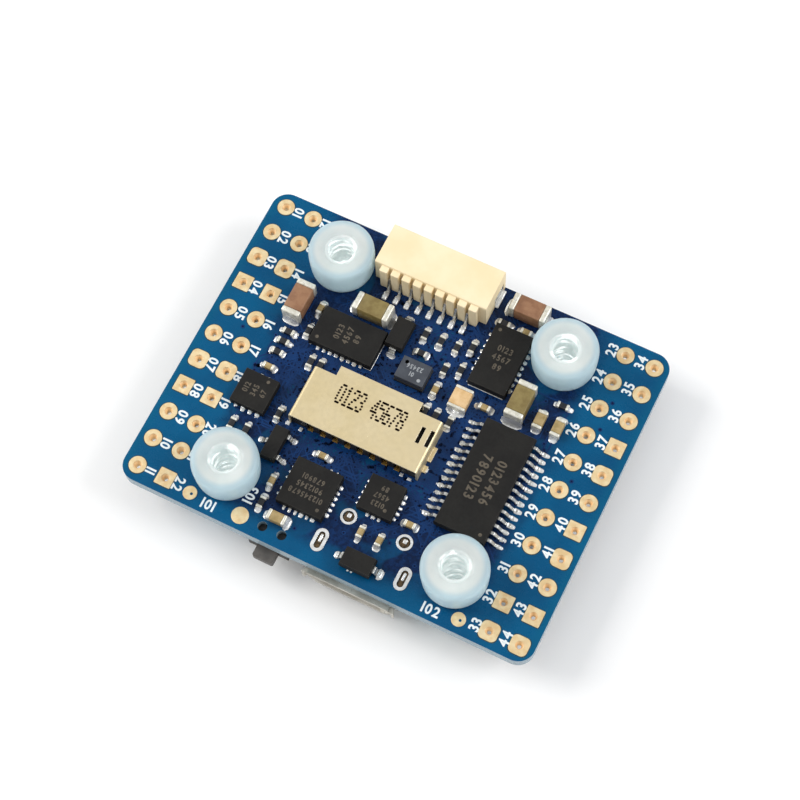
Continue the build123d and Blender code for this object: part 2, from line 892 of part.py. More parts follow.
with BuildPart() as usb_shell:
    with BuildSketch(usb_plane(usb_rear)):
        usb_outline(0, 0)
    extrude(amount=usb_rear - usb_lip_back)
    with BuildSketch(usb_plane(usb_lip_back)):
        usb_outline(0, 0)
    with BuildSketch(usb_plane(usb_mouth)):
        usb_outline(usb_flare, usb_level_flare)
    loft()
    with BuildSketch(usb_plane(usb_rear + 1)):
        usb_outline(-usb_sheet, -usb_sheet)
    extrude(amount=usb_rear + 1 - usb_lip_back, mode=Mode.SUBTRACT)
    with BuildSketch(usb_plane(usb_lip_back)):
        usb_outline(-usb_sheet, -usb_sheet)
    with BuildSketch(usb_plane(usb_mouth)):
        usb_outline(usb_flare - usb_sheet, usb_level_flare - usb_sheet)
    loft(mode=Mode.SUBTRACT)
    # The lower lip stops behind the upper one
    block(
        2 * usb_width,
        usb_lower_setback,
        usb_height,
        x=usb_centre_x,
        y=usb_mouth + usb_lower_setback / 2,
        z=usb_top - usb_height * (1 + usb_waist),
        mode=Mode.SUBTRACT,
    )
    # The lip stops short of the board's underside and is split at its four corners
    block(
        usb_width + 4 * usb_flare,
        usb_lip,
        2 * usb_flare,
        x=usb_centre_x,
        y=front_edge + usb_lip / 2 - plating_gap,
        z=board_bottom,
        mode=Mode.SUBTRACT,
    )
    split_width, split_height = usb_lip_split
    for side in (-1, 1):
        block(
            split_width,
            usb_lip,
            split_height,
            x=usb_centre_x + side * (usb_width + usb_flare) / 2,
            y=usb_mouth + usb_lip / 2 - 0.1,
            z=board_bottom - 0.1,
            mode=Mode.SUBTRACT,
        )
    # Legs and posts up into the board
    leg_root = usb_height * usb_waist
    for leg_x, leg_y in leg_spots:
        block(
            usb_leg_sheet,
            usb_leg_width,
            usb_leg_rise + leg_root,
            x=leg_x,
            y=leg_y,
            z=board_bottom - leg_root,
        )
    for post_x, post_y in post_spots:
        with Locations((post_x, post_y, board_bottom - usb_sheet)):
            Cylinder(
                usb_post_radius,
                usb_leg_rise + usb_sheet,
                align=(Align.CENTER, Align.CENTER, Align.MIN),
            )
keep("usb_shell", usb_shell)

tongue_z = board_bottom - usb_tongue_drop
tongue_back = usb_rear - usb_block
tongue_front = usb_mouth + usb_tongue_setback
contact_width, contact_thickness = usb_contact
usb_contact_xs = [
    usb_centre_x + (index - (usb_contacts_count - 1) / 2) * usb_contact_pitch
    for index in range(usb_contacts_count)
]
with BuildPart() as usb_tongue:
    with BuildSketch(usb_plane(usb_rear)):
        usb_outline(-usb_sheet - 2 * slide_gap, -usb_sheet - 2 * slide_gap)
    extrude(amount=usb_block)
    block(
        usb_width - 2 * usb_tongue_side,
        tongue_back - tongue_front,
        usb_tongue_thickness,
        x=usb_centre_x,
        y=(tongue_back + tongue_front) / 2,
        z=tongue_z,
    )
    for contact_x in usb_contact_xs:
        block(
            contact_width + 2 * slide_gap,
            2 * usb_length,
            contact_thickness + 2 * slide_gap,
            x=contact_x,
            y=usb_rear,
            z=tongue_z,
            mode=Mode.SUBTRACT,
        )
keep("usb_tongue", usb_tongue)

contact_front = usb_mouth + usb_contact_setback
with BuildPart() as usb_contacts:
    for contact_x in usb_contact_xs:
        block(
            contact_width,
            usb_rear - contact_front,
            contact_thickness,
            x=contact_x,
            y=(usb_rear + contact_front) / 2,
            z=tongue_z,
        )
        block(
            contact_width,
            usb_contact_leg,
            usb_tongue_drop,
            x=contact_x,
            y=usb_rear + usb_contact_leg / 2,
            z=tongue_z,
        )
        block(
            contact_width,
            usb_contact_foot,
            usb_contact_leg,
            x=contact_x,
            y=usb_rear + usb_contact_foot / 2,
            z=board_bottom - usb_contact_leg,
        )
keep("usb_contacts", usb_contacts)

# --- Side-push button ---
button_front = front_edge + button_setback
button_mid_y = button_front + button_depth / 2
base_height = button_height - button_cover_sheet
cavity_width = plunger_width + 2 * plunger_shoulder + 2 * plunger_gap
cavity_depth = button_depth - button_wall - button_rear_wall
plunger_top = board_bottom - button_wall - plunger_gap
shoulder_front = button_front + button_wall + plunger_gap
shoulder_back = shoulder_front + plunger_shoulder_depth
roof = base_height - button_wall
with BuildPart() as button_body:
    block(
        button_width,
        button_depth,
        base_height,
        x=button_centre_x,
        y=button_mid_y,
        z=board_bottom - base_height,
    )
    block(
        cavity_width,
        cavity_depth,
        roof,
        x=button_centre_x,
        y=button_front + button_wall + cavity_depth / 2,
        z=board_bottom - base_height,
        mode=Mode.SUBTRACT,
    )
    block(
        plunger_width + 2 * plunger_gap,
        button_wall * 2,
        roof,
        x=button_centre_x,
        y=button_front + button_wall / 2,
        z=board_bottom - base_height,
        mode=Mode.SUBTRACT,
    )
    with Locations(*[(x, y, board_bottom) for x, y in peg_spots]):
        Cylinder(peg_radius, board_thickness / 2, align=(Align.CENTER, Align.CENTER, Align.MIN))
keep("button_body", button_body)

with BuildPart() as button_cover:
    block(
        button_width,
        button_depth,
        button_cover_sheet,
        x=button_centre_x,
        y=button_mid_y,
        z=board_bottom - button_height,
    )
    for side in (-1, 1):
        block(
            button_cover_sheet,
            button_wing,
            button_height,
            x=button_centre_x + side * (button_width + button_cover_sheet) / 2,
            y=button_mid_y,
            z=board_bottom - button_height,
        )
        block(
            button_foot,
            button_wing,
            button_cover_sheet,
            x=button_centre_x + side * (button_width + button_foot) / 2,
            y=button_mid_y,
            z=board_bottom - button_cover_sheet,
        )
keep("button_cover", button_cover)

stem_back = shoulder_front + plunger_root
stem_front = front_edge - plunger_reach
with BuildPart() as boot_button:
    block(
        plunger_width,
        stem_back - stem_front,
        plunger_height,
        x=button_centre_x,
        y=(stem_back + stem_front) / 2,
        z=plunger_top - plunger_height,
    )
    fillet(boot_button.faces().sort_by(Axis.Y)[0].edges(), plunger_tip_edge)
    block(
        plunger_width + 2 * plunger_shoulder,
        plunger_shoulder_depth,
        plunger_height,
        x=button_centre_x,
        y=(shoulder_front + shoulder_back) / 2,
        z=plunger_top - plunger_height,
    )
keep("boot_button", boot_button)

# The snap spring: a bowed strip whose crown stands just past the plunger's travel
dome_crown = shoulder_back + button_travel + plunger_gap
dome_half = cavity_width / 2 - dome_side_gap
dome_foot = plunger_top - plunger_height + dome_edge_gap
with BuildPart() as button_dome:
    with BuildSketch(Plane(origin=(button_centre_x, dome_crown, dome_foot))):
        with BuildLine():
            ThreePointArc((-dome_half, dome_bow), (0, 0), (dome_half, dome_bow))
            Line((dome_half, dome_bow), (dome_half, dome_bow + dome_thickness))
            ThreePointArc(
                (dome_half, dome_bow + dome_thickness),
                (0, dome_thickness),
                (-dome_half, dome_bow + dome_thickness),
            )
            Line((-dome_half, dome_bow + dome_thickness), (-dome_half, dome_bow))
        make_face()
    extrude(amount=plunger_height - 2 * dome_edge_gap)
keep("button_dome", button_dome)

# --- Video chip ---
video_length, video_width, video_height = video_body
video_shoulder = (video_height + chip_standoff) / 2
video_reach = (video_span - video_length) / 2
with BuildPart() as video_chip:
    with at([(*video_centre, flat)], board_top):
        add(moulded_body(video_length, video_width, video_height, chip_standoff))
keep("video_chip", video_chip)

video_lead = gull_lead(video_reach, video_shoulder, *video_lead_size)
with BuildPart() as video_chip_leads:
    for angle in (0, 180):
        row = side_row(video_leads_per_side, video_pitch, video_length / 2, angle, video_centre)
        with at(row, board_top):
            add(video_lead)
keep("video_chip_leads", video_chip_leads)

# --- Processor, under the board ---
with BuildPart() as processor:
    with at([(*processor_centre, flat)], board_bottom, flip=180):
        add(moulded_body(processor_body, processor_body, processor_height, chip_standoff))
keep("processor", processor)

processor_reach = (processor_span - processor_body) / 2
processor_shoulder = (processor_height + chip_standoff) / 2
processor_lead = gull_lead(processor_reach, processor_shoulder, *processor_lead_size)
side_count = processor_leads_per_side
with BuildPart() as processor_leads:
    for angle in (0, 90, 180, 270):
        row = side_row(side_count, processor_pitch, processor_body / 2, angle, processor_centre)
        with at(row, board_bottom, flip=180):
            add(processor_lead)
keep("processor_leads", processor_leads)


# --- Leadless chips ---
def terminal_ring(length, width, counts, pitch, terminal_width, terminal_length, pad_share):
    """Terminals along the edges and the heat pad between them; counts is (along Y, along X)."""
    terminal = edge_terminal(terminal_width, terminal_length)
    with BuildPart() as ring:
        for angle in (0, 90, 180, 270):
            along_y = angle in (0, 180)
            count = counts[0] if along_y else counts[1]
            distance = (length if along_y else width) / 2
            if count:
                with at(side_row(count, pitch, distance, angle), 0):
                    add(terminal)
        block(length * pad_share, width * pad_share, terminal_height)
    return ring.part


large_ring = terminal_ring(sensor_large_size, sensor_large_size, *sensor_large_terminals)
small_ring = terminal_ring(sensor_small_size, sensor_small_size, *sensor_small_terminals)
regulator_ring = terminal_ring(regulator_length, regulator_width, *regulator_terminal_rows)
switch_ring = terminal_ring(switch_size, switch_size, *switch_terminals)

with BuildPart() as motion_sensor_large:
    with at([(*sensor_large_centre, flat)], board_top):
        add(flat_chip(sensor_large_size, sensor_large_size, sensor_height, large_ring))
keep("motion_sensor_large", motion_sensor_large)

with BuildPart() as motion_sensor_large_terminals:
    with at([(*sensor_large_centre, flat)], board_top):
        add(large_ring)
keep("motion_sensor_large_terminals", motion_sensor_large_terminals)

with BuildPart() as motion_sensor_small:
    with at([(*sensor_small_centre, flat)], board_top):
        add(flat_chip(sensor_small_size, sensor_small_size, sensor_height, small_ring))
keep("motion_sensor_small", motion_sensor_small)

with BuildPart() as motion_sensor_small_terminals:
    with at([(*sensor_small_centre, flat)], board_top):
        add(small_ring)
keep("motion_sensor_small_terminals", motion_sensor_small_terminals)

regulator_chip = flat_chip(regulator_length, regulator_width, regulator_height, regulator_ring)
with BuildPart() as regulator_left:
    with at([(*regulator_left_centre, flat)], board_top):
        add(regulator_chip)
keep("regulator_left", regulator_left)

with BuildPart() as regulator_right:
    with at([(*regulator_right_centre, reversed_turn)], board_top):
        add(regulator_chip)
keep("regulator_right", regulator_right)

with BuildPart() as regulator_terminals:
    with at([(*regulator_left_centre, flat), (*regulator_right_centre, reversed_turn)], board_top):
        add(regulator_ring)
keep("regulator_terminals", regulator_terminals)

with BuildPart() as switch_chip:
    with at([(*switch_centre, flat)], board_top):
        add(flat_chip(switch_size, switch_size, switch_height, switch_ring))
keep("switch_chip", switch_chip)

with BuildPart() as switch_chip_terminals:
    with at([(*switch_centre, flat)], board_top):
        add(switch_ring)
keep("switch_chip_terminals", switch_chip_terminals)

# --- Pressure sensor ---
pressure_x, pressure_y = pressure_centre
with BuildPart() as pressure_sensor_base:
    block(pressure_length, pressure_width, pressure_base, x=pressure_x, y=pressure_y, z=board_top)
keep("pressure_sensor_base", pressure_sensor_base)

lid_length = pressure_length - 2 * pressure_lid_inset
lid_width = pressure_width - 2 * pressure_lid_inset
lid_height = pressure_height - pressure_base
port_x = pressure_x - pressure_length / 2 + pressure_port_inset
port_y = pressure_y + pressure_width / 2 - pressure_port_inset
with BuildPart() as pressure_sensor_lid:
    block(
        lid_length,
        lid_width,
        lid_height,
        x=pressure_x,
        y=pressure_y,
        z=board_top + pressure_base,
    )
    fillet(pressure_sensor_lid.faces().sort_by(Axis.Z)[-1].edges(), pressure_lid_edge)
    block(
        lid_length - 2 * pressure_lid_wall,
        lid_width - 2 * pressure_lid_wall,
        lid_height - pressure_lid_wall,
        x=pressure_x,
        y=pressure_y,
        z=board_top + pressure_base,
        mode=Mode.SUBTRACT,
    )
    with Locations((port_x, port_y, board_top + pressure_height)):
        Cylinder(pressure_port_radius, lid_height, mode=Mode.SUBTRACT)
keep("pressure_sensor_lid", pressure_sensor_lid)

# --- Diodes and transistor ---
diode_length, diode_width, diode_height = diode_body
with BuildPart() as diodes:
    with at(diode_spots, board_top):
        add(moulded_body(diode_length, diode_width, diode_height, small_standoff))
keep("diodes", diodes)

diode_lead = gull_lead(
    (diode_span - diode_length) / 2, (diode_height + small_standoff) / 2, *diode_lead_size
)
with BuildPart() as diode_leads:
    for diode_x, diode_y, diode_turn in diode_spots:
        for angle in (0, 180):
            row = side_row(1, 1, diode_length / 2, angle + diode_turn, (diode_x, diode_y))
            with at(row, board_top):
                add(diode_lead)
keep("diode_leads", diode_leads)

transistor_length, transistor_width, transistor_height = transistor_body
with BuildPart() as transistor:
    with at([(*transistor_centre, flat)], board_top):
        add(moulded_body(transistor_length, transistor_width, transistor_height, small_standoff))
keep("transistor", transistor)

transistor_lead = gull_lead(
    (transistor_span - transistor_length) / 2,
    (transistor_height + small_standoff) / 2,
    *transistor_lead_size,
)
with BuildPart() as transistor_leads:
    with at(side_row(2, transistor_pitch, transistor_length / 2, 0, transistor_centre), board_top):
        add(transistor_lead)
    with at(side_row(1, 1, transistor_length / 2, 180, transistor_centre), board_top):
        add(transistor_lead)
keep("transistor_leads", transistor_leads)

# --- Two-ended chip parts ---
with BuildPart() as bulk_caps_brown:
    with at(bulk_brown_spots, board_top):
        add(middle(bulk_size))
keep("bulk_caps_brown", bulk_caps_brown)

with BuildPart() as bulk_caps_gold:
    with at(bulk_gold_spots, board_top):
        add(middle(bulk_size))
keep("bulk_caps_gold", bulk_caps_gold)

with BuildPart() as bulk_cap_ends:
    with at(bulk_brown_spots + bulk_gold_spots, board_top):
        add(two_ends(bulk_size))
keep("bulk_cap_ends", bulk_cap_ends)

with BuildPart() as filter_cap:
    with at(filter_spots, board_top):
        add(middle(filter_size))
keep("filter_cap", filter_cap)

with BuildPart() as filter_cap_ends:
    with at(filter_spots, board_top):
        add(two_ends(filter_size))
keep("filter_cap_ends", filter_cap_ends)

with BuildPart() as medium_caps:
    with at(medium_spots, board_top):
        add(middle(medium_size))
keep("medium_caps", medium_caps)

with BuildPart() as medium_cap_ends:
    with at(medium_spots, board_top):
        add(two_ends(medium_size))
keep("medium_cap_ends", medium_cap_ends)

with BuildPart() as small_caps:
    with at(small_cap_spots, board_top):
        add(middle(small_size))
    with at(lower_cap_spots, board_bottom, flip=180):
        add(middle(small_size))
keep("small_caps", small_caps)

with BuildPart() as small_cap_ends:
    with at(small_cap_spots, board_top):
        add(two_ends(small_size))
    with at(lower_cap_spots, board_bottom, flip=180):
        add(two_ends(small_size))
keep("small_cap_ends", small_cap_ends)

with BuildPart() as resistors:
    with at(resistor_spots, board_top):
        add(middle(resistor_size))
    with at(lower_resistor_spots, board_bottom, flip=180):
        add(middle(resistor_size))
keep("resistors", resistors)

with BuildPart() as resistor_ends:
    with at(resistor_spots, board_top):
        add(two_ends(resistor_size))
    with at(lower_resistor_spots, board_bottom, flip=180):
        add(two_ends(resistor_size))
keep("resistor_ends", resistor_ends)

with BuildPart() as status_leds:
    with at(led_spots, board_bottom, flip=180):
        add(middle(led_size))
keep("status_leds", status_leds)

with BuildPart() as status_led_ends:
    with at(led_spots, board_bottom, flip=180):
        add(two_ends(led_size))
keep("status_led_ends", status_led_ends)

# --- Inductors and crystal, under the board ---
inductor_length, inductor_width, inductor_height = inductor_size
with BuildPart() as inductor_pair_ends:
    for side in (-1, 1):
        block(*inductor_end, x=side * (inductor_length - inductor_end[0]) / 2)
with BuildPart() as inductor_body:
    block(inductor_length, inductor_width, inductor_height)
    fillet(inductor_body.edges().filter_by(Axis.Z), inductor_corner)
    chamfer(inductor_body.faces().sort_by(Axis.Z)[-1].edges(), inductor_edge)
    add(inductor_pair_ends.part, mode=Mode.SUBTRACT)
with BuildPart() as inductors:
    with at(inductor_spots, board_bottom, flip=180):
        add(inductor_body.part)
keep("inductors", inductors)

with BuildPart() as inductor_ends:
    with at(inductor_spots, board_bottom, flip=180):
        add(inductor_pair_ends.part)
keep("inductor_ends", inductor_ends)

crystal_length, crystal_width, crystal_height = crystal_size
crystal_x, crystal_y = crystal_centre
with BuildPart() as crystal_base:
    block(
        crystal_length,
        crystal_width,
        crystal_base_height,
        x=crystal_x,
        y=crystal_y,
        z=board_bottom - crystal_base_height,
    )
keep("crystal_base", crystal_base)

with BuildPart() as crystal:
    block(
        crystal_length - 2 * crystal_lid_margin,
        crystal_width - 2 * crystal_lid_margin,
        crystal_height - crystal_base_height,
        x=crystal_x,
        y=crystal_y,
        z=board_bottom - crystal_height,
    )
    fillet(crystal.edges().filter_by(Axis.Z), crystal_corner)
keep("crystal", crystal)

for name, piece in pieces.items():
    export_step(piece.part, f"parts/{name}.step")
print(len(pieces), "pieces written")
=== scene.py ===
# %% [markdown]
# # A flight controller board, dressed for the camera
# The board is a small blue circuit board on four silicone grommets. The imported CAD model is
# the fixed frame, so every new piece below takes its place from a CAD piece's box.

import json
from math import cos, pi, radians, sin

import bpy
import numpy as np
from mathutils import Matrix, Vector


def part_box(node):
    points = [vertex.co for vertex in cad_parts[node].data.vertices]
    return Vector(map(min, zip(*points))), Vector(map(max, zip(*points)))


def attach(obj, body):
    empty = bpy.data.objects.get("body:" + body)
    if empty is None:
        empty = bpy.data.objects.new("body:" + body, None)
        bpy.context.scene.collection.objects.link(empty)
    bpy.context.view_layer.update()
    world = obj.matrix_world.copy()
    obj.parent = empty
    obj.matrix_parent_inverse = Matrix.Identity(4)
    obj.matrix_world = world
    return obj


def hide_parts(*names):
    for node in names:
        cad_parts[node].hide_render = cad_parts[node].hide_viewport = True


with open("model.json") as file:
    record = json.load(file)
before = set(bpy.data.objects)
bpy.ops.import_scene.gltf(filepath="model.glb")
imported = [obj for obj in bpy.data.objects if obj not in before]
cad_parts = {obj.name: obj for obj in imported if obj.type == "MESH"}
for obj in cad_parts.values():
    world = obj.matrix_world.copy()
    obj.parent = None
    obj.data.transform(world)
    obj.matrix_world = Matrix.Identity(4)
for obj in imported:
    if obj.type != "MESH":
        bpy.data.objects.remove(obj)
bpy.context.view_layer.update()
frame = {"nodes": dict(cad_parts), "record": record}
slot_of = {part["node"]: part["material_slot"] for part in frame["record"]["subparts"]}
corner_names = ("front_left", "front_right", "back_left", "back_right")
rng = np.random.default_rng(20)

# %% [markdown]
# ## Measuring the CAD pieces
# Many CAD nodes are groups: all the small resistors are one node. The new pieces need each
# solid's own box. Corners at one place are welded, then labels spread over the triangles until
# each solid has a single label. It is quicker than splitting objects in Blender.


# %% Boxes of the solids in a node
def solids_of(node):
    """Boxes (n, 2, 3) in mm of the separate solids in a CAD node.

    label[c] = lowest label on any triangle that touches corner c, until nothing changes.
    """
    mesh = frame["nodes"][node].data
    mesh.calc_loop_triangles()
    points = np.empty(3 * len(mesh.vertices))
    mesh.vertices.foreach_get("co", points)
    triangles = np.empty(3 * len(mesh.loop_triangles), np.int32)
    mesh.loop_triangles.foreach_get("vertices", triangles)
    points = points.reshape(-1, 3) * 1000
    welded, place = np.unique(np.round(points * 1e4), axis=0, return_inverse=True)
    corners = place.ravel()[triangles].reshape(-1, 3)
    label = np.arange(len(welded))
    while True:
        lowest = label[corners].min(axis=1)
        spread = label.copy()
        np.minimum.at(spread, corners.ravel(), np.repeat(lowest, 3))
        spread = spread[spread]
        if (spread == label).all():
            break
        label = spread
    welded = welded / 1e4
    names = np.unique(label[corners.ravel()])
    return np.array([[welded[label == n].min(0), welded[label == n].max(0)] for n in names])


def box_of(node):
    """One node's box in mm: (lowest corner, highest corner)."""
    low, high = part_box(node)
    return np.array(low) * 1000, np.array(high) * 1000


board_low, board_high = box_of("circuit_board")
top, under = board_high[2], board_low[2]
pads = np.concatenate(
    [solids_of(n) for n in ("signal_pads_left", "signal_pads_right", "ground_pads", "supply_pads")]
)
print("board top", round(top, 3), "underside", round(under, 3), "wire pads", len(pads))

# %% [markdown]
# ## Turning arrays into pieces
# A piece is an array of points in millimetres and a few arrays of faces. One helper puts them
# in a mesh, rounds the shading, and hangs the piece on a body of the frame.


# %% Make a piece
def make_piece(name, points, faces, finish, slot, body="board", crease=40):
    """A closed mesh from points (n, 3) in mm and face index arrays, riding on one body."""
    mesh = bpy.data.meshes.new(name)
    rows = [row for group in faces for row in group.tolist()]
    mesh.from_pydata((points * 0.001).tolist(), [], rows)
    mesh.shade_smooth()
    mesh.set_sharp_from_angle(angle=radians(crease))
    mesh.materials.append(finish)
    piece = bpy.data.objects.new(name, mesh)
    bpy.context.scene.collection.objects.link(piece)
    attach(piece, body)
    print(name, len(points), "points", len(rows), "faces")
    return piece


def copies(faces, size, count):
    """The faces of one shape repeated for count copies of size points each."""
    shift = (np.arange(count) * size)[:, None, None]
    return [(group[None] + shift).reshape(-1, group.shape[1]) for group in faces]


def tube_faces(rows, columns):
    """Quads of a closed tube whose sections are rings, and the two flat ends."""
    i, j = np.meshgrid(np.arange(rows - 1), np.arange(columns), indexing="ij")
    right = (j + 1) % columns
    quads = np.stack(
        [i * columns + j, (i + 1) * columns + j, (i + 1) * columns + right, i * columns + right], -1
    ).reshape(-1, 4)
    ring = np.arange(columns)
    ends = np.stack([ring, (rows - 1) * columns + ring[::-1]])
    return [quads, ends]


# %% [markdown]
# ## Finishes
# Each finish is a Principled shader fed by shared node groups: `tone_drift` wanders between two
# colours, `fine_grain` gives roughness and relief, and an edge group finds the edges by comparing a
# rounded normal with the true one, where a lighter colour is painted in patches as a painted
# highlight. Constants go straight on the shader's own sockets.


# %% Colour and node helpers
def paint(code):
    """Linear colour from a six-figure web colour: ((c + 0.055) / 1.055) ^ 2.4."""
    values = [int(code[i : i + 2], 16) / 255 for i in (0, 2, 4)]
    return (*[v / 12.92 if v < 0.04045 else ((v + 0.055) / 1.055) ** 2.4 for v in values], 1.0)


def new_group(name, inputs, outputs):
    """An empty node group with its named sockets."""
    tree = bpy.data.node_groups.new(name, "ShaderNodeTree")
    kinds = {"value": "NodeSocketFloat", "colour": "NodeSocketColor", "vector": "NodeSocketVector"}
    for label, kind, default in inputs:
        socket = tree.interface.new_socket(label, in_out="INPUT", socket_type=kinds[kind])
        socket.default_value = default
    for label, kind in outputs:
        tree.interface.new_socket(label, in_out="OUTPUT", socket_type=kinds[kind])
    return tree, tree.nodes.new("NodeGroupInput"), tree.nodes.new("NodeGroupOutput")


def node(tree, kind, links=None, **settings):
    """A node with its settings, and its inputs set to values or linked to other sockets."""
    made = tree.nodes.new(kind)
    for key, value in settings.items():
        setattr(made, key, value)
    for key, value in (links or {}).items():
        if isinstance(value, bpy.types.NodeSocket):
            tree.links.new(value, made.inputs[key])
        else:
            made.inputs[key].default_value = value
    return made


def maths(tree, operation, *values):
    """A Math node's output."""
    return node(tree, "ShaderNodeMath", dict(enumerate(values)), operation=operation).outputs[0]


def blend(tree, share, first, second, blend_type="MIX"):
    """A colour mix's output."""
    mix = node(tree, "ShaderNodeMix", data_type="RGBA", blend_type=blend_type)
    for socket, value in ((mix.inputs[0], share), (mix.inputs[6], first), (mix.inputs[7], second)):
        if isinstance(value, bpy.types.NodeSocket):
            tree.links.new(value, socket)
        else:
            socket.default_value = value
    return mix.outputs[2]


def place(tree, stretch=(1, 1, 1)):
    """Object coordinates in millimetres, stretched."""
    source = node(tree, "ShaderNodeTexCoord").outputs["Object"]
    scale = [1000 / value for value in stretch]
    return node(tree, "ShaderNodeMapping", {"Vector": source, "Scale": scale}).outputs[0]


def noise(tree, where, size, detail=3.0, rough=0.55):
    """Noise whose blotches are about size mm across."""
    scale = maths(tree, "DIVIDE", 1.0, size)
    links = {"Vector": where, "Scale": scale, "Detail": detail, "Roughness": rough}
    return node(tree, "ShaderNodeTexNoise", links).outputs[0]


def ramp(tree, value, low, high):
    """0 below low, 1 above high, smooth between."""
    links = {"Value": value, "From Min": low, "From Max": high}
    made = node(tree, "ShaderNodeMapRange", links, interpolation_type="SMOOTHSTEP")
    return made.outputs[0]


# %% Shared groups
tone_drift, inner, outer = new_group(
    "tone_drift",
    [("First", "colour", (1, 1, 1, 1)), ("Second", "colour", (0, 0, 0, 1)), ("Size", "value", 1.0)],
    [("Colour", "colour")],
)
drift = noise(tone_drift, place(tone_drift), inner.outputs["Size"], 4.0)
drift = ramp(tone_drift, drift, 0.3, 0.7)
mixed = blend(tone_drift, drift, inner.outputs["First"], inner.outputs["Second"])
tone_drift.links.new(mixed, outer.inputs[0])

fine_grain, inner, outer = new_group(
    "fine_grain",
    [("Size", "value", 0.1), ("Smooth", "value", 0.3), ("Rough", "value", 0.5)],
    [("Height", "value"), ("Roughness", "value")],
)
grain = noise(fine_grain, place(fine_grain), inner.outputs["Size"], 5.0, 0.65)
wide_size = maths(fine_grain, "MULTIPLY", inner.outputs["Size"], 9.0)
wide = noise(fine_grain, place(fine_grain), wide_size, 2.0)
both = maths(fine_grain, "ADD", maths(fine_grain, "MULTIPLY", grain, 0.7), wide)
fine_grain.links.new(both, outer.inputs["Height"])
share = ramp(fine_grain, both, 0.55, 1.1)
spread = maths(fine_grain, "SUBTRACT", inner.outputs["Rough"], inner.outputs["Smooth"])
spread = maths(fine_grain, "MULTIPLY", spread, share)
spread = maths(fine_grain, "ADD", spread, inner.outputs["Smooth"])
fine_grain.links.new(spread, outer.inputs["Roughness"])

# Mask for a painted highlight: where it is high, a finish paints its lighter edge colour.
painted_edge_highlight, inner, outer = new_group(
    "painted_edge_highlight",
    [("Rounded Normal", "vector", (0, 0, 1)), ("Amount", "value", 0.5)],
    [("Mask", "value")],
)
true_normal = node(painted_edge_highlight, "ShaderNodeNewGeometry").outputs["True Normal"]
facing = node(
    painted_edge_highlight,
    "ShaderNodeVectorMath",
    {0: inner.outputs["Rounded Normal"], 1: true_normal},
    operation="DOT_PRODUCT",
).outputs["Value"]
edge = ramp(painted_edge_highlight, maths(painted_edge_highlight, "SUBTRACT", 1.0, facing), 0.005, 0.12)
patches = ramp(painted_edge_highlight, noise(painted_edge_highlight, place(painted_edge_highlight), 0.5), 0.25, 0.6)
edge = maths(painted_edge_highlight, "MULTIPLY", edge, patches)
edge = maths(painted_edge_highlight, "MULTIPLY", edge, inner.outputs["Amount"])
painted_edge_highlight.links.new(edge, outer.inputs["Mask"])
print("groups", [group.name for group in bpy.data.node_groups])


# %% A finish
def finish(
    name, first, second, smooth, rough, drift_mm=1.2, grain_mm=0.06, relief_mm=0.004,
    edge_mm=0.03, edge_highlight_colour=None, edge_highlight_amount=0.5, metal=0.0, lines=None, **constants,
):
    """A material: two drifting colours, grain, softened edges with a painted highlight on them.

    Flat ink and foil have edge_mm = 0: they have no edge worth rounding.
    """
    material = bpy.data.materials.new(name)
    material.use_nodes = True
    tree = material.node_tree
    shader = tree.nodes["Principled BSDF"]
    shader.inputs["Metallic"].default_value = metal
    for key, value in constants.items():
        shader.inputs[key.replace("_", " ")].default_value = value
    colour = node(tree, "ShaderNodeGroup", node_tree=tone_drift)
    for key, value in (("First", paint(first)), ("Second", paint(second)), ("Size", drift_mm)):
        colour.inputs[key].default_value = value
    colour = colour.outputs["Colour"]
    grains = node(tree, "ShaderNodeGroup", node_tree=fine_grain)
    for key, value in (("Size", grain_mm), ("Smooth", smooth), ("Rough", rough)):
        grains.inputs[key].default_value = value
    height = grains.outputs["Height"]
    if lines:
        streaks = noise(tree, place(tree, lines), 1.0, 4.0)
        height = maths(tree, "ADD", height, maths(tree, "MULTIPLY", streaks, 1.5))
        colour = blend(tree, maths(tree, "MULTIPLY", streaks, 0.22), colour, paint("1a1712"))
    rounded = None
    if edge_mm:
        rounded = node(tree, "ShaderNodeBevel", {"Radius": edge_mm * 0.001}, samples=4).outputs[0]
    # Painted highlight: the edges take a lighter colour, in patches.
    if edge_highlight_colour:
        light = node(tree, "ShaderNodeGroup", {"Rounded Normal": rounded}, node_tree=painted_edge_highlight)
        light.inputs["Amount"].default_value = edge_highlight_amount
        colour = blend(tree, light.outputs["Mask"], colour, paint(edge_highlight_colour))
    bump = node(tree, "ShaderNodeBump", {"Height": height, "Distance": relief_mm * 0.001})
    bump.inputs["Strength"].default_value = 0.8
    if rounded:
        tree.links.new(rounded, bump.inputs["Normal"])
    tree.links.new(colour, shader.inputs["Base Color"])
    tree.links.new(grains.outputs["Roughness"], shader.inputs["Roughness"])
    tree.links.new(bump.outputs[0], shader.inputs["Normal"])
    return material


# %% [markdown]
# ## The palette
# Metals: gold-plated pads, tinned leads, a champagne-coloured card shell. Plastics: charcoal
# chips with a fine grain, a cream connector. Ceramics: brown, olive-gold and orange capacitors.

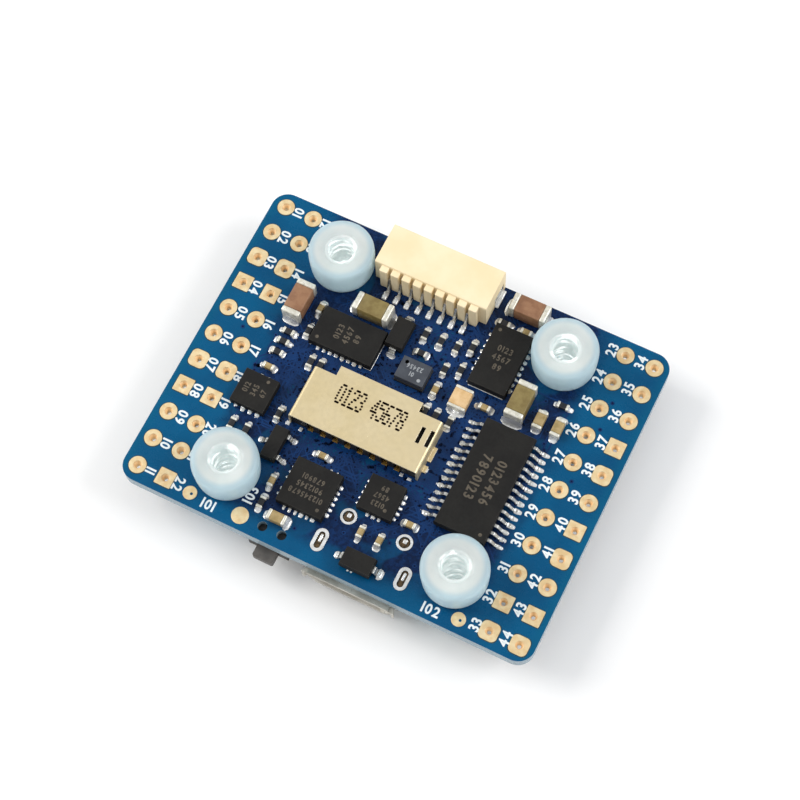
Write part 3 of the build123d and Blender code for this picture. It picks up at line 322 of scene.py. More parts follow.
# %% Finishes for the record's slots
finishes = {
    "gold": finish("gold_plate", "f7e2b6", "e9c994", 0.3, 0.5, 0.6, metal=0.45,
                   edge_highlight_colour="fff4dc", edge_highlight_amount=0.8, edge_mm=0.04),
    "solder": finish("bright_solder", "ffffff", "dededa", 0.12, 0.3, 0.3, 0.09, 0.02, metal=0.5),
    "cream_plastic": finish("cream_nylon", "fbe9c4", "f4dfb4", 0.5, 0.68, 3.0, 0.05, 0.003,
                            edge_highlight_colour="fff6dd", edge_highlight_amount=0.6),
    "tin": finish("tinned_copper", "e6e6e2", "bebdb6", 0.2, 0.38, 0.35, 0.07, 0.008, metal=0.9,
                  edge_highlight_colour="ffffff"),
    "shell_steel": finish("champagne_shell", "e6d5ad", "dfcc9e", 0.36, 0.48, 4.0, 0.04, 0.001,
                          edge_mm=0.06, edge_highlight_colour="fffaf0", edge_highlight_amount=0.9, metal=0.6),
    "black_plastic": finish("black_nylon", "1b1a19", "262422", 0.45, 0.65, 0.8,
                            edge_highlight_colour="55524c"),
    "gold_spring": finish("gold_spring", "eec979", "d9a955", 0.22, 0.35, 0.5, metal=0.9),
    "nickel": finish("nickel_sheet", "dedad0", "bdb8ac", 0.26, 0.44, 1.5, 0.05, 0.003,
                     edge_mm=0.05, edge_highlight_colour="fbf9f3", metal=0.7, lines=(3.0, 0.08, 0.3)),
    "button_grey": finish("dark_grey_plastic", "5e5a56", "4c4946", 0.45, 0.6, 0.8,
                          edge_highlight_colour="8b8781"),
    "chip_epoxy": finish("charcoal_epoxy", "201f1d", "191817", 0.5, 0.72, 1.6, 0.035, 0.006,
                         edge_highlight_colour="55524c", edge_highlight_amount=0.75, edge_mm=0.05,
                         Specular_IOR_Level=0.22),
    "sensor_lid": finish("grey_lid", "4d525a", "42464e", 0.42, 0.55, 0.9, 0.04, 0.002,
                         edge_highlight_colour="7c8088", metal=0.3),
    "brown_ceramic": finish("brown_ceramic", "9c7354", "855c40", 0.38, 0.55, 0.7, 0.05, 0.006,
                            edge_highlight_colour="dcb08c", edge_mm=0.06),
    "gold_ceramic": finish("olive_gold_ceramic", "8d7d4c", "786638", 0.34, 0.5, 0.7, 0.05, 0.006,
                           edge_highlight_colour="bda86c", edge_mm=0.06),
    "orange_ceramic": finish("orange_ceramic", "e6c596", "d2ab74", 0.38, 0.55, 0.6, 0.05, 0.006,
                             edge_highlight_colour="f7dcaa", edge_mm=0.06),
    "tan_ceramic": finish("tan_ceramic", "b39b6c", "96804f", 0.4, 0.6, 0.5, 0.05, 0.005,
                          edge_highlight_colour="d8c79b", edge_mm=0.05),
    "cap_end": finish("tinned_end", "f8f5ea", "dedac8", 0.24, 0.46, 0.3, 0.06, 0.012, metal=0.5,
                      edge_highlight_colour="ffffff"),
    "resistor_black": finish("black_glaze", "25262a", "17181a", 0.3, 0.45, 0.4, 0.05, 0.004,
                             edge_highlight_colour="55565a"),
    "ferrite": finish("grey_ferrite", "4a4a4b", "3a3a3b", 0.6, 0.8, 0.9, 0.09, 0.012,
                      edge_highlight_colour="707072", edge_mm=0.08),
    "lamp": finish("clear_lamp", "f4f2dd", "e4e2c4", 0.15, 0.3, 0.3, 0.05, 0.003,
                   Transmission_Weight=0.4),
}
print("finishes", len(finishes))

# %% [markdown]
# ## Solder mask
# The board is glass-epoxy with a glossy blue varnish over copper. Along both short sides the
# copper is solid, so the blue is clear and bright; between the chips the copper is cut into
# traces, so it looks navy. The cut edge has no varnish and shows pale laminate with layers.


# %% The board's finish
def solder_mask():
    """Blue varnish by place, pale laminate where the surface isn't level."""
    material = finish("solder_mask", "015680", "014a73", 0.2, 0.34, 5.0, 0.12, 0.003,
                      edge_mm=0, Specular_IOR_Level=0.16)
    tree = material.node_tree
    shader = tree.nodes["Principled BSDF"]
    varnish = shader.inputs["Base Color"].links[0].from_socket
    where = place(tree)
    parts = node(tree, "ShaderNodeSeparateXYZ", {0: where}).outputs
    from_middle = maths(tree, "ABSOLUTE", parts["X"])
    wobble = maths(tree, "MULTIPLY", noise(tree, where, 2.2, 2.0), 2.0)
    crowded = ramp(tree, maths(tree, "ADD", from_middle, wobble), 14.4, 12.2)
    from_front = ramp(tree, parts["Y"], -13.2, -11.4)
    crowded = maths(tree, "MULTIPLY", crowded, from_front)
    pours = ramp(tree, noise(tree, where, 2.6, 1.0, 0.3), 0.52, 0.6)
    crowded = maths(tree, "MULTIPLY", crowded, maths(tree, "SUBTRACT", 1.0,
                    maths(tree, "MULTIPLY", pours, 0.55)))
    weave = noise(tree, where, 0.28, 3.0)
    navy = blend(tree, ramp(tree, weave, 0.35, 0.65), paint("071d40"), paint("0d2c58"))
    blue = blend(tree, crowded, varnish, navy)
    rim = ramp(tree, from_middle, 16.9, 18.0)
    blue = blend(tree, maths(tree, "MULTIPLY", rim, 0.35), blue, paint("02607f"))
    normal = node(tree, "ShaderNodeNewGeometry").outputs["True Normal"]
    level = maths(tree, "ABSOLUTE", node(tree, "ShaderNodeSeparateXYZ", {0: normal}).outputs["Z"])
    layers = node(tree, "ShaderNodeTexWave", {"Vector": where, "Scale": 1.1, "Distortion": 0.6},
                  bands_direction="Z").outputs[1]
    laminate = blend(tree, layers, paint("a3b4bd"), paint("7f94a0"))
    tree.links.new(blend(tree, ramp(tree, level, 0.4, 0.6), laminate, blue),
                   shader.inputs["Base Color"])
    return material


finishes["board"] = solder_mask()
covered_copper = finish("covered_copper", "10386c", "0b2c5a", 0.2, 0.34, 1.2, 0.1, 0.002,
                        edge_mm=0, Specular_IOR_Level=0.2)
# A near-black disc stands for each via's hole: painted shade, as there is no hole.
via_painted_shade = finish("via_hole", "040f2c", "061638", 0.3, 0.5, 0.4, edge_mm=0, Specular_IOR_Level=0.1)
silk_ink = finish("white_ink", "f2f6f6", "dfe8ea", 0.6, 0.8, 0.4, 0.05, 0.004, edge_mm=0)
etched_grey = finish("etched_grey", "635a4c", "484137", 0.6, 0.8, 0.3, edge_mm=0)
lid_grey = finish("lid_grey", "a4a8ac", "8c9094", 0.6, 0.8, 0.3, edge_mm=0)
clearance = finish("mask_opening", "16323c", "24403c", 0.3, 0.5, 0.4, edge_mm=0)
dimple_gold = finish("dimple_gold", "fbe0b4", "f0c892", 0.22, 0.4, 0.3, edge_mm=0, metal=0.1)
dark_brown_fill = finish("dark_brown_fill", "6a5436", "2f2415", 0.2, 0.4, 0.25, 0.06, 0.01, edge_mm=0,
                    metal=0.3)
code_ink = finish("brown_ink", "2c190b", "170c04", 0.5, 0.7, 0.2, edge_mm=0, Specular_IOR_Level=0.1)
print("board finish ready")


# %% [markdown]
# ## Silicone
# The grommets are soft milky silicone. Part of the light passes straight through and part
# scatters below the surface. On top of that the spools are made to glow: emission paints a light
# into them so they look lit from inside, and a blue tinge is painted on the rim as if thrown by
# the board. In the bore the painted glow comes out brighter, in uneven arcs: each spool carries a
# `depth` attribute, 0 at the rim, 1 at the mouth and more on the bore's wall.


# %% The grommets' finish
# Emission is switched on here for a painted glow: the spools glow though they hold no lamp.
finishes["silicone"] = finish(
    "milky_silicone", "eaeeea", "dde5e2", 0.3, 0.46, 2.5, 0.12, 0.004, edge_mm=0,
    Subsurface_Weight=0.7, Subsurface_Radius=(0.0028, 0.0026, 0.0026), Subsurface_Scale=1.0,
    Transmission_Weight=0.35, IOR=1.41, Specular_IOR_Level=0.4, Emission_Strength=1.0,
)


def painted_inner_glow(material):
    """Painted light: a board-blue tint at the thin rim, paler inwards; in the bore a painted glow
    (emission) broken by brighter painted arcs.
    """
    tree = material.node_tree
    shader = tree.nodes["Principled BSDF"]
    depth = node(tree, "ShaderNodeAttribute", attribute_name="depth").outputs["Fac"]
    arcs = ramp(tree, noise(tree, place(tree, (1.3, 1.3, 0.35)), 1.0, 2.0), 0.5, 0.62)
    bright = blend(tree, arcs, paint("666b6b"), paint("d4d6d4"))
    glow = blend(tree, ramp(tree, depth, 1.02, 1.2), paint("2c3233"), bright)
    milk_and_board_tint = shader.inputs["Base Color"].links[0].from_socket
    # The blue at the rim is a painted tint, as if light from the board fell on it.
    milk_and_board_tint = blend(tree, ramp(tree, depth, 0.15, 0.6), paint("bcd4de"), milk_and_board_tint)
    tree.links.new(milk_and_board_tint, shader.inputs["Base Color"])
    tree.links.new(glow, shader.inputs["Emission Color"])


painted_inner_glow(finishes["silicone"])
for name, piece in frame["nodes"].items():
    for place_for in piece.material_slots:
        place_for.material = finishes[slot_of[name]]
print("finishes given to", len(frame["nodes"]), "CAD nodes")

# %% [markdown]
# ## Grommets
# A grommet is a soft spool: two thick rings and a neck through the board. Its section is drawn
# once, as a closed ring of points, and its corners are cut twice to round them. Turning the
# section round the bore gives a closed surface with no poles.


# %% Turned rings
def cut_corners(ring, rounds):
    """Chaikin's rule on a closed ring: each side keeps the points at 1/4 and 3/4."""
    for _ in range(rounds):
        ahead = np.roll(ring, -1, axis=0)
        ring = np.stack([0.75 * ring + 0.25 * ahead, 0.25 * ring + 0.75 * ahead], 1).reshape(-1, 2)
    return ring


def turned_ring(section, centre, steps, ripple=0.0):
    """x = r cos a, y = r sin a, z = z, for a closed section of (r, z) points; faces point out."""
    angle = np.arange(steps) * 2 * pi / steps
    radius = section[None, :, 0] * (1 + ripple * np.sin(3 * angle)[:, None])
    points = np.stack(
        [radius * np.cos(angle)[:, None], radius * np.sin(angle)[:, None],
         np.broadcast_to(section[:, 1], radius.shape)], -1
    )
    columns = len(section)
    i, j = np.meshgrid(np.arange(steps), np.arange(columns), indexing="ij")
    ahead, right = (i + 1) % steps, (j + 1) % columns
    quads = np.stack([i * columns + j, ahead * columns + j, ahead * columns + right,
                      i * columns + right], -1).reshape(-1, 4)
    return points.reshape(-1, 3) + np.array([*centre, 0.0]), [quads]


# %% Four silicone spools
mouth_radius = 1.42
for corner in corner_names:
    low, high = box_of(f"grommet_{corner}")
    middle = (low + high)[:2] / 2
    reach = (high[0] - low[0]) / 2
    rise = high[2] - top
    upper = np.array([
        (1.94, 0.0), (reach - 0.12, 0.0), (reach - 0.03, 0.45 * rise), (reach, 0.72 * rise),
        (reach - 0.02, 0.92 * rise), (reach - 0.2, rise), (reach - 0.7, rise + 0.005),
        (1.8, rise), (1.5, rise - 0.01), (1.34, rise - 0.1), (1.2, rise - 0.06),
        (1.06, rise - 0.16), (1.0, rise - 0.5), (1.1, 0.5 * rise),
    ])
    above = upper + [0, top]
    below = np.stack([upper[::-1, 0], under - upper[::-1, 1]], 1)
    section = cut_corners(np.concatenate([below, above]), 2)
    points, faces = turned_ring(section, middle, 96, 0.002)
    spool = make_piece(f"silicone_{corner}", points, faces, finishes["silicone"], "silicone")
    depth = (reach - np.linalg.norm(points[:, :2] - middle, axis=1)) / (reach - mouth_radius)
    spool.data.attributes.new("depth", "FLOAT", "POINT").data.foreach_set("value", depth)
    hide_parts(f"grommet_{corner}")

# %% [markdown]
# ## Two-ended parts
# Resistors and capacitors are little ceramic bricks with tinned ends. Fired ceramic has soft
# corners. A rounded brick can be worked out from a sphere: each point of the sphere is pushed
# out to its own corner of the brick, so the eight octants become the eight corners.


# %% Rounded bricks
def rounded_bricks(boxes, radius, rows=8, columns=16):
    """p = centre + sign(d) (half - radius) + radius d, for the directions d of a sphere."""
    across, down = (np.arange(columns) + 0.5) * 2 * pi / columns, (np.arange(rows) + 0.5) * pi / rows
    ring = np.stack([np.cos(across), np.sin(across)], -1)
    way = np.empty((rows, columns, 3))
    way[..., :2] = np.sin(down)[:, None, None] * ring
    way[..., 2] = np.cos(down)[:, None]
    way = way.reshape(1, -1, 3)
    half = (boxes[:, 1] - boxes[:, 0])[:, None] / 2
    middle = (boxes[:, 1] + boxes[:, 0])[:, None] / 2
    round_by = np.minimum(radius, half.min(-1, keepdims=True) * 0.95)
    points = middle + np.sign(way) * (half - round_by) + round_by * way
    return points.reshape(-1, 3), copies(tube_faces(rows, columns), rows * columns, len(boxes))


# %% Ceramic parts with soft corners
bricks = {
    "bulk_caps_brown": 0.09, "bulk_caps_gold": 0.09, "bulk_cap_ends": 0.14, "filter_cap": 0.06,
    "filter_cap_ends": 0.1, "medium_caps": 0.06, "medium_cap_ends": 0.1, "small_caps": 0.04,
    "small_cap_ends": 0.08, "resistors": 0.03, "resistor_ends": 0.06,
}
for name, radius in bricks.items():
    boxes = solids_of(name)
    points, faces = rounded_bricks(boxes, radius)
    slot = slot_of[name]
    soft = make_piece(f"fired_{name}", points, faces, finishes[slot], slot)
    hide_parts(name)

# %% [markdown]
# ## Solder
# Molten solder climbs each tinned end and sets as a hollow ramp, tall at the part and thin at
# the board. One ramp is a curved section carried across the part's width, shrinking at both
# sides. Copies are placed by each part's own directions: outwards, across and up.


# %% Ramps of solder
def ramp_shape(columns=7, rows=7):
    """Section z = (1 - x)^2.4 over x in 0..1, scaled across the width by (1 - y^4)^0.5."""
    run = np.linspace(0, 1, columns)
    section = np.concatenate([np.stack([run, (1 - run) ** 2.4 + 0.03], 1), [[1.0, 0.0], [0, 0]]])
    side = np.linspace(-1, 1, rows)
    scale = np.sqrt(1 - 0.82 * side**4)
    points = np.empty((rows, len(section), 3))
    points[..., 0] = section[:, 0] * scale[:, None]
    points[..., 1] = 0.5 * side[:, None]
    points[..., 2] = section[:, 1] * scale[:, None]
    return points.reshape(-1, 3), tube_faces(rows, len(section))


def set_down(shape, origins, outward, up, sizes):
    """p = origin + x length outward + y width across + z height up, for every copy."""
    points, faces = shape
    across = np.cross(up, outward)
    scaled = points[None] * sizes[:, None]
    placed = (
        origins[:, None]
        + scaled[..., :1] * outward[:, None]
        + scaled[..., 1:2] * across[:, None]
        + scaled[..., 2:] * up[:, None]
    )
    return placed.reshape(-1, 3), copies(faces, len(points), len(origins))


def facing(boxes, bodies, by_length):
    """Each terminal's outward and up directions, away from the nearest body."""
    centres, hearts = boxes.mean(1), bodies.mean(1)
    offsets = centres[:, None] - hearts[None]
    offset = offsets[np.arange(len(boxes)), np.linalg.norm(offsets, axis=-1).argmin(1)]
    size = boxes[:, 1] - boxes[:, 0]
    along_x = size[:, 0] > size[:, 1] if by_length else np.abs(offset[:, 0]) > np.abs(offset[:, 1])
    outward = np.zeros((len(boxes), 3))
    outward[along_x, 0] = np.sign(offset[along_x, 0])
    outward[~along_x, 1] = np.sign(offset[~along_x, 1])
    up = np.zeros((len(boxes), 3))
    up[:, 2] = np.where(centres[:, 2] > (top + under) / 2, 1.0, -1.0)
    return outward, up


def solder_at(boxes, bodies, length, rise, widen, by_length=False, inset=0.03):
    """Ramps at the outer faces of the terminals, their widths and heights a little uneven."""
    outward, up = facing(boxes, bodies, by_length)
    half = (boxes[:, 1] - boxes[:, 0]) / 2
    origins = boxes.mean(1) + outward * (np.abs(half * outward).sum(1, keepdims=True) - inset)
    origins[:, 2] = np.where(up[:, 2] > 0, top, under)
    across = np.abs(np.cross(up, outward))
    width = 2 * (half * across).sum(1) * widen
    height = 2 * half[:, 2] * rise
    uneven = rng.uniform(0.78, 1.3, (len(boxes), 3))
    sizes = np.stack([np.full(len(boxes), length), width, height], 1) * uneven
    return set_down(ramp_shape(), origins, outward, up, sizes)


def join(shapes):
    """Several (points, faces) shapes as one."""
    points, faces, start = [], [], 0
    for more, groups in shapes:
        points.append(more)
        faces += [group + start for group in groups]
        start += len(more)
    return np.concatenate(points), faces


# %% Solder at the ends of the parts
solder_crease = 55
flat_pads = [
    ("motion_sensor_large_terminals", "motion_sensor_large"),
    ("motion_sensor_small_terminals", "motion_sensor_small"),
    ("regulator_terminals", "regulator_left"),
    ("regulator_terminals", "regulator_right"),
    ("switch_chip_terminals", "switch_chip"),
]
ramps = [
    solder_at(solids_of("resistor_ends"), solids_of("resistors"), 0.36, 0.85, 1.12),
    solder_at(solids_of("small_cap_ends"), solids_of("small_caps"), 0.36, 0.75, 1.12),
    solder_at(solids_of("medium_cap_ends"), solids_of("medium_caps"), 0.34, 0.6, 1.02),
    solder_at(solids_of("filter_cap_ends"), solids_of("filter_cap"), 0.3, 0.45, 0.96),
    solder_at(
        solids_of("bulk_cap_ends"),
        np.concatenate([solids_of("bulk_caps_brown"), solids_of("bulk_caps_gold")]),
        0.42, 0.42, 0.96,
    ),
    solder_at(solids_of("status_led_ends"), solids_of("status_leds"), 0.24, 0.6, 1.0),
    solder_at(solids_of("inductor_ends"), solids_of("inductors"), 0.3, 0.9, 1.0),
    solder_at(solids_of("diode_leads"), solids_of("diodes"), 0.36, 0.5, 1.3, True, 0.2),
    solder_at(solids_of("transistor_leads"), solids_of("transistor"), 0.34, 0.5, 1.5, True, 0.2),
]
make_piece("end_solder", *join(ramps), finishes["solder"], "solder", crease=solder_crease)

# %% Solder at the chips' leads and terminals
leads = [
    solder_at(solids_of("video_chip_leads"), solids_of("video_chip"), 0.55, 0.3, 1.5, True, 0.3),
    solder_at(solids_of("processor_leads"), solids_of("processor"), 0.5, 0.22, 1.25, True, 0.25),
]
for terminals, chip in flat_pads:
    edge_pads = solids_of(terminals)
    heart = solids_of(chip)
    reach = np.abs(edge_pads.mean(1)[:, :2] - heart.mean(1)[:, :2]).max(1)
    small = (edge_pads[:, 1] - edge_pads[:, 0])[:, :2].max(1) < 1.0
    near = small & (reach < 3.2)
    leads.append(solder_at(edge_pads[near], heart, 0.26, 0.9, 1.25, True, 0.02))
make_piece("lead_solder", *join(leads), finishes["solder"], "solder", crease=solder_crease)

# %% [markdown]
# The connector's pins end in small puddles. Each USB leg stands in a ringed hole, filled a little
# below the top with dark brown and a bright spot of solder, and a little bare solder lies beside the
# chips.

# %% Solder on the connector's pins and round the socket's legs
pins = solids_of("connector_pins")
foot_low = np.stack([pins[:, 0, 0] - 0.13, pins[:, 0, 1] - 0.12, np.full(len(pins), top)], 1)
foot_high = np.stack([pins[:, 1, 0] + 0.13, pins[:, 0, 1] + 0.66, np.full(len(pins), top + 0.3)], 1)
blobs = [rounded_bricks(np.stack([foot_low, foot_high], 1), 0.15)]
blobs.append(set_down(
    ramp_shape(), np.stack([pins.mean(1)[:, 0], pins[:, 0, 1] + 0.3, np.full(len(pins), top)], 1),
    np.tile([0.0, 1.0, 0.0], (len(pins), 1)), np.tile([0.0, 0.0, 1.0], (len(pins), 1)),
    np.tile([0.75, 0.36, 0.75], (len(pins), 1)),
))
ring_pads = solids_of("shell_tab_pads")
ring_pads = ring_pads[ring_pads[:, 1, 2] > top]
filled = ring_pads.copy()
ring_wall = 0.24
filled[:, 0, :2] += ring_wall
filled[:, 1, :2] -= ring_wall
filled[:, 0, 2], filled[:, 1, 2] = top - 0.5, top - 0.07
wells = rounded_bricks(filled, 0.12)
glint = filled.copy()
glint[:, 0, :2] += (filled[:, 1, :2] - filled[:, 0, :2]) * [0.28, 0.4]
glint[:, 1, :2] -= (filled[:, 1, :2] - filled[:, 0, :2]) * [0.28, 0.12]
glint[:, 0, 2], glint[:, 1, 2] = top - 0.4, top - 0.01
blobs.append(rounded_bricks(glint, 0.1))
tabs = solids_of("connector_tabs")
blobs.append(rounded_bricks(
    np.stack([tabs[:, 0] - [0.05, 0.1, 0], np.stack([tabs[:, 1, 0] + 0.05, tabs[:, 1, 1] + 0.1,
             np.full(len(tabs), top + 0.22)], 1)], 1), 0.1))
make_piece("pin_solder", *join(blobs), finishes["solder"], "solder", crease=solder_crease)
# A dark brown fill sunk a little inside each ring.
make_piece("tab_dark_fill", *wells, dark_brown_fill, "solder", crease=solder_crease)

# %% Bare solder beside the chips: lowest x and y, then highest x and y
bare = np.array([
    (-3.8, 2.6, -3.7, 5.6), (-4.35, 2.55, -3.72, 2.66), (3.85, 4.9, 6.95, 5.0),
    (3.66, 5.12, 3.92, 5.38), (-7.8, -4.5, -7.45, -4.15), (-6.6, -4.55, -6.3, -4.2),
    (2.35, -4.45, 2.65, -4.15), (3.05, -4.5, 3.4, -4.25), (4.0, -3.3, 4.25, -2.9),
])
bare_boxes = np.stack([
    np.c_[bare[:, :2], np.full(len(bare), top - 0.02)],
    np.c_[bare[:, 2:], np.full(len(bare), top + 0.05)],
], 1)
make_piece("bare_solder", *rounded_bricks(bare_boxes, 0.04), finishes["solder"], "solder")

# %% [markdown]
# ## Traces and vias
# Under the varnish run fine copper traces in bundles, turning by 45 degrees, and they end in
# vias. They are laid as thin ribbons: headings are whole eighths of a turn, points are running
# sums of the steps, and the sides are mitred so a bundle keeps its spacing round a bend. Routes
# that would cross a grommet's hole or a USB leg's hole are left out.


# %% Ribbons
def mitred(paths, offset):
    """Points beside a path: p + offset n / cos(half turn), n the mean of the two normals."""
    step = np.diff(paths, axis=1)
    step = step / np.linalg.norm(step, axis=-1, keepdims=True)
    normal = np.stack([-step[..., 1], step[..., 0]], -1)
    joined = np.concatenate([normal[:, :1], (normal[:, 1:] + normal[:, :-1]) / 2, normal[:, -1:]], 1)
    joined = joined / (joined**2).sum(-1, keepdims=True)
    return paths + offset * joined


def ribbons(paths, width, base, thick):
    """Closed flat ribbons along paths (n, k, 2), each a little taller than the one before.

    Section: width by thick (0.4 + 0.6 i / n), so no two crossing tops lie in one plane.
    """
    left, right = mitred(paths, width / 2), mitred(paths, -width / 2)
    count, length = paths.shape[:2]
    points = np.empty((count, length, 4, 3))
    rise = thick * (0.4 + 0.6 * np.arange(count)[:, None] / count)
    for place_in, (side, level) in enumerate(
        [(left, base), (left, base + rise), (right, base + rise), (right, base)]
    ):
        points[:, :, place_in, :2] = side
        points[:, :, place_in, 2] = level
    return points.reshape(-1, 3), copies(tube_faces(length, 4), length * 4, count)


# %% Routes that keep off the holes
grommets = [box_of(f"grommet_{corner}") for corner in corner_names]
holes = np.concatenate([grommets, ring_pads])
hole_middles = holes.mean(1)[:, :2]
hole_reach = (holes[:, 1] - holes[:, 0])[:, :2].max(1) / 2 + 0.15


def clear_of_holes(routes, margin):
    """The routes that keep off every hole, looked at in twelve places on each step."""
    share = np.linspace(0, 1, 12)[:, None, None, None]
    spots = routes[None, :, :-1] * (1 - share) + routes[None, :, 1:] * share
    gap = np.linalg.norm(spots[..., None, :] - hole_middles, axis=-1)
    return routes[(gap > hole_reach + margin).all((0, 2, 3))]


def wander(count, steps, low, high):
    """Trace routes that stay inside a rectangle: running sums of steps at 45 degree headings."""
    start = rng.uniform(low, high, (count, 1, 2))
    heading = rng.integers(0, 8, (count, 1)) + np.cumsum(rng.choice([-1, 0, 1], (count, steps)), 1)
    length = rng.uniform(0.5, 2.6, (count, steps))
    step = np.stack([np.cos(heading * pi / 4), np.sin(heading * pi / 4)], -1) * length[..., None]
    routes = np.concatenate([start, start + np.cumsum(step, 1)], 1)
    inside = ((routes > low) & (routes < high)).all((1, 2))
    return routes[inside]


# %% Lay the traces
sunk = 0.004
routes = wander(900, 4, np.array([-12.3, -10.3]), np.array([12.3, 12.0]))
routes = clear_of_holes(routes, 0.35)
bundle = np.concatenate([mitred(routes[:70], shift) for shift in (-0.28, 0.0, 0.28)] + [routes[70:]])
top_traces = ribbons(bundle, 0.12, top - sunk, 0.02)
lower_routes = wander(260, 4, np.array([-12.3, -9.0]), np.array([12.3, 12.0]))
lower_routes = clear_of_holes(lower_routes, 0.1)
lower_traces = ribbons(lower_routes, 0.14, under + sunk, -0.02)
make_piece("covered_traces", *join([top_traces, lower_traces]), covered_copper, "board")


# %% Vias
def discs(centres, radius, base, thick, sides=12):
    """Flat closed discs: two rings of points and two flat ends, one for each centre."""
    angle = np.arange(sides) * 2 * pi / sides
    ring = np.stack([np.cos(angle), np.sin(angle)], -1) * radius
    points = np.empty((len(centres), 2, sides, 3))
    points[..., :2] = centres[:, None, None] + ring
    points[:, 0, :, 2], points[:, 1, :, 2] = base + thick, base
    return points.reshape(-1, 3), copies(tube_faces(2, sides), 2 * sides, len(centres))


number_offset = 1.18
loose_vias = rng.uniform((-15.6, -13), (15.6, 13), (150, 2))
via_spots = np.concatenate([bundle[:, 0], bundle[:, -1], loose_vias])
pad_middles = pads.mean(1)[:, :2]
number_middles = pad_middles.copy()
number_middles[:, 0] -= np.sign(pad_middles[:, 0]) * number_offset
kept_clear = np.concatenate([pad_middles, number_middles])
clear = np.linalg.norm(via_spots[:, None] - kept_clear[None], axis=-1).min(1) > 1.0
clear &= np.abs(via_spots[:, 1]) < 12.0
clear &= (np.linalg.norm(via_spots[:, None] - hole_middles, axis=-1) > hole_reach).all(1)
via_spots = via_spots[clear]
make_piece("via_rims", *discs(via_spots, 0.17, top - sunk, 0.024), covered_copper, "board")
# Each via's hole is a dark disc on its rim: painted shade in place of a hole.
make_piece("via_holes", *discs(via_spots, 0.085, top - sunk, 0.028, 8), via_painted_shade, "board")

# %% [markdown]
# ## Wire pads
# The plating of each wire pad dips towards the hole like a dish. The varnish stops a little
# short of the pad, so a dark line runs round it. The superellipse |x|^p + |y|^p = 1 gives all
# three outlines: round for p = 2, a soft square for 4, a square for 12.

# %% Dished plating in the wire holes
dish = np.array([(0.16, -0.42), (0.39, -0.42), (0.39, -0.03), (0.34, -0.06), (0.2, -0.24)])
dish_points, dish_faces = turned_ring(dish + [0, top], (0.0, 0.0), 20)
dishes = dish_points[None] + np.c_[pad_middles, np.zeros(len(pad_middles))][:, None]
make_piece("dished_plating", dishes.reshape(-1, 3),
           copies(dish_faces, len(dish_points), len(pad_middles)), dimple_gold, "gold")


# %% Openings in the varnish round the wire pads
def rims(centres, inner, half, power, base, thick, sides=40):
    """Flat closed rings from r = inner out to r = half / (|cos a|^p + |sin a|^p)^(1/p)."""
    angle = np.arange(sides) * 2 * pi / sides
    reach = (np.abs(np.cos(angle)) ** power + np.abs(np.sin(angle)) ** power) ** (-1 / power)
    radius = np.stack([np.full(sides, inner), half * reach, half * reach, np.full(sides, inner)], 1)
    way = np.stack([np.cos(angle), np.sin(angle)], -1)[:, None]
    points = np.empty((len(centres), sides, 4, 3))
    points[..., :2] = centres[:, None, None] + radius[..., None] * way
    points[..., 2] = base + thick * np.array([0, 0, 1, 1])
    i, j = np.meshgrid(np.arange(sides), np.arange(4), indexing="ij")
    ahead, beside = (i + 1) % sides, (j + 1) % 4
    quads = np.stack([i * 4 + j, ahead * 4 + j, ahead * 4 + beside, i * 4 + beside], -1)
    return points.reshape(-1, 3), copies([quads.reshape(-1, 4)], 4 * sides, len(centres))


outlines = [
    (solids_of("signal_pads_left"), 2.0), (solids_of("signal_pads_right"), 2.0),
    (solids_of("ground_pads"), 4.0), (solids_of("supply_pads"), 12.0),
]
openings = []
for spots, power in outlines:
    half = (spots[:, 1] - spots[:, 0])[:, :2].max() / 2
    openings.append(
        rims(spots.mean(1)[:, :2], half - 0.1, half + 0.07, power, top - sunk, 2 * sunk)
    )
make_piece("varnish_openings", *join(openings), clearance, "board")

# %% [markdown]
# ## Numbers in ink
# Every wire pad has a number beside it, white ink on the varnish. The digits are Blender's own
# letter shapes, made into meshes once each, then set side by side as arrays. They stand 0.016 mm
# proud of the varnish, as printed ink does.


# %% Digit shapes
def digit_shape(digit):
    """One digit as points, triangles and width, its height made 1 and its thickness 1."""
    curve = bpy.data.curves.new("digit", "FONT")
    curve.body = digit
    curve.extrude = 0.5
    curve.offset = 0.03
    curve.resolution_u = 3
    holder = bpy.data.objects.new("digit", curve)
    bpy.context.scene.collection.objects.link(holder)
    mesh = bpy.data.meshes.new_from_object(holder.evaluated_get(bpy.context.evaluated_depsgraph_get()))
    points = np.empty(3 * len(mesh.vertices))
    mesh.vertices.foreach_get("co", points)
    mesh.calc_loop_triangles()
    triangles = np.empty(3 * len(mesh.loop_triangles), np.int32)
    mesh.loop_triangles.foreach_get("vertices", triangles)
    points = points.reshape(-1, 3)
    points[:, 0] -= points[:, 0].min()
    height = points[:, 1].max() - points[:, 1].min()
    points[:, 1] -= points[:, 1].min()
    points[:, :2] /= height
    points[:, 2] += 0.5
    bpy.data.objects.remove(holder)
    bpy.data.meshes.remove(mesh)
    return points, triangles.reshape(-1, 3), points[:, 0].max()


digits = {digit: digit_shape(digit) for digit in "0123456789"}


def numbers(labels, height, base, thick, gap=0.16, squeeze=0.9):
    """Printed numbers. labels: (text, x, y, turn in degrees), centred on (x, y)."""
    shapes = []
    for text, x, y, turn in labels:
        widths = [digits[digit][2] * squeeze for digit in text]
        run = -(sum(widths) + gap * (len(text) - 1)) / 2
        along = np.array([cos(radians(turn)), sin(radians(turn)), 0.0])
        upward = np.array([-sin(radians(turn)), cos(radians(turn)), 0.0])
        for digit, width in zip(text, widths):
            points, triangles, _ = digits[digit]
            placed = np.outer((points[:, 0] * squeeze + run) * height, along)
            placed += np.array([x, y, base]) + np.outer((points[:, 1] - 0.5) * height, upward)
            placed[:, 2] += points[:, 2] * thick
            shapes.append((placed, [triangles]))
            run += width + gap
    return join(shapes)


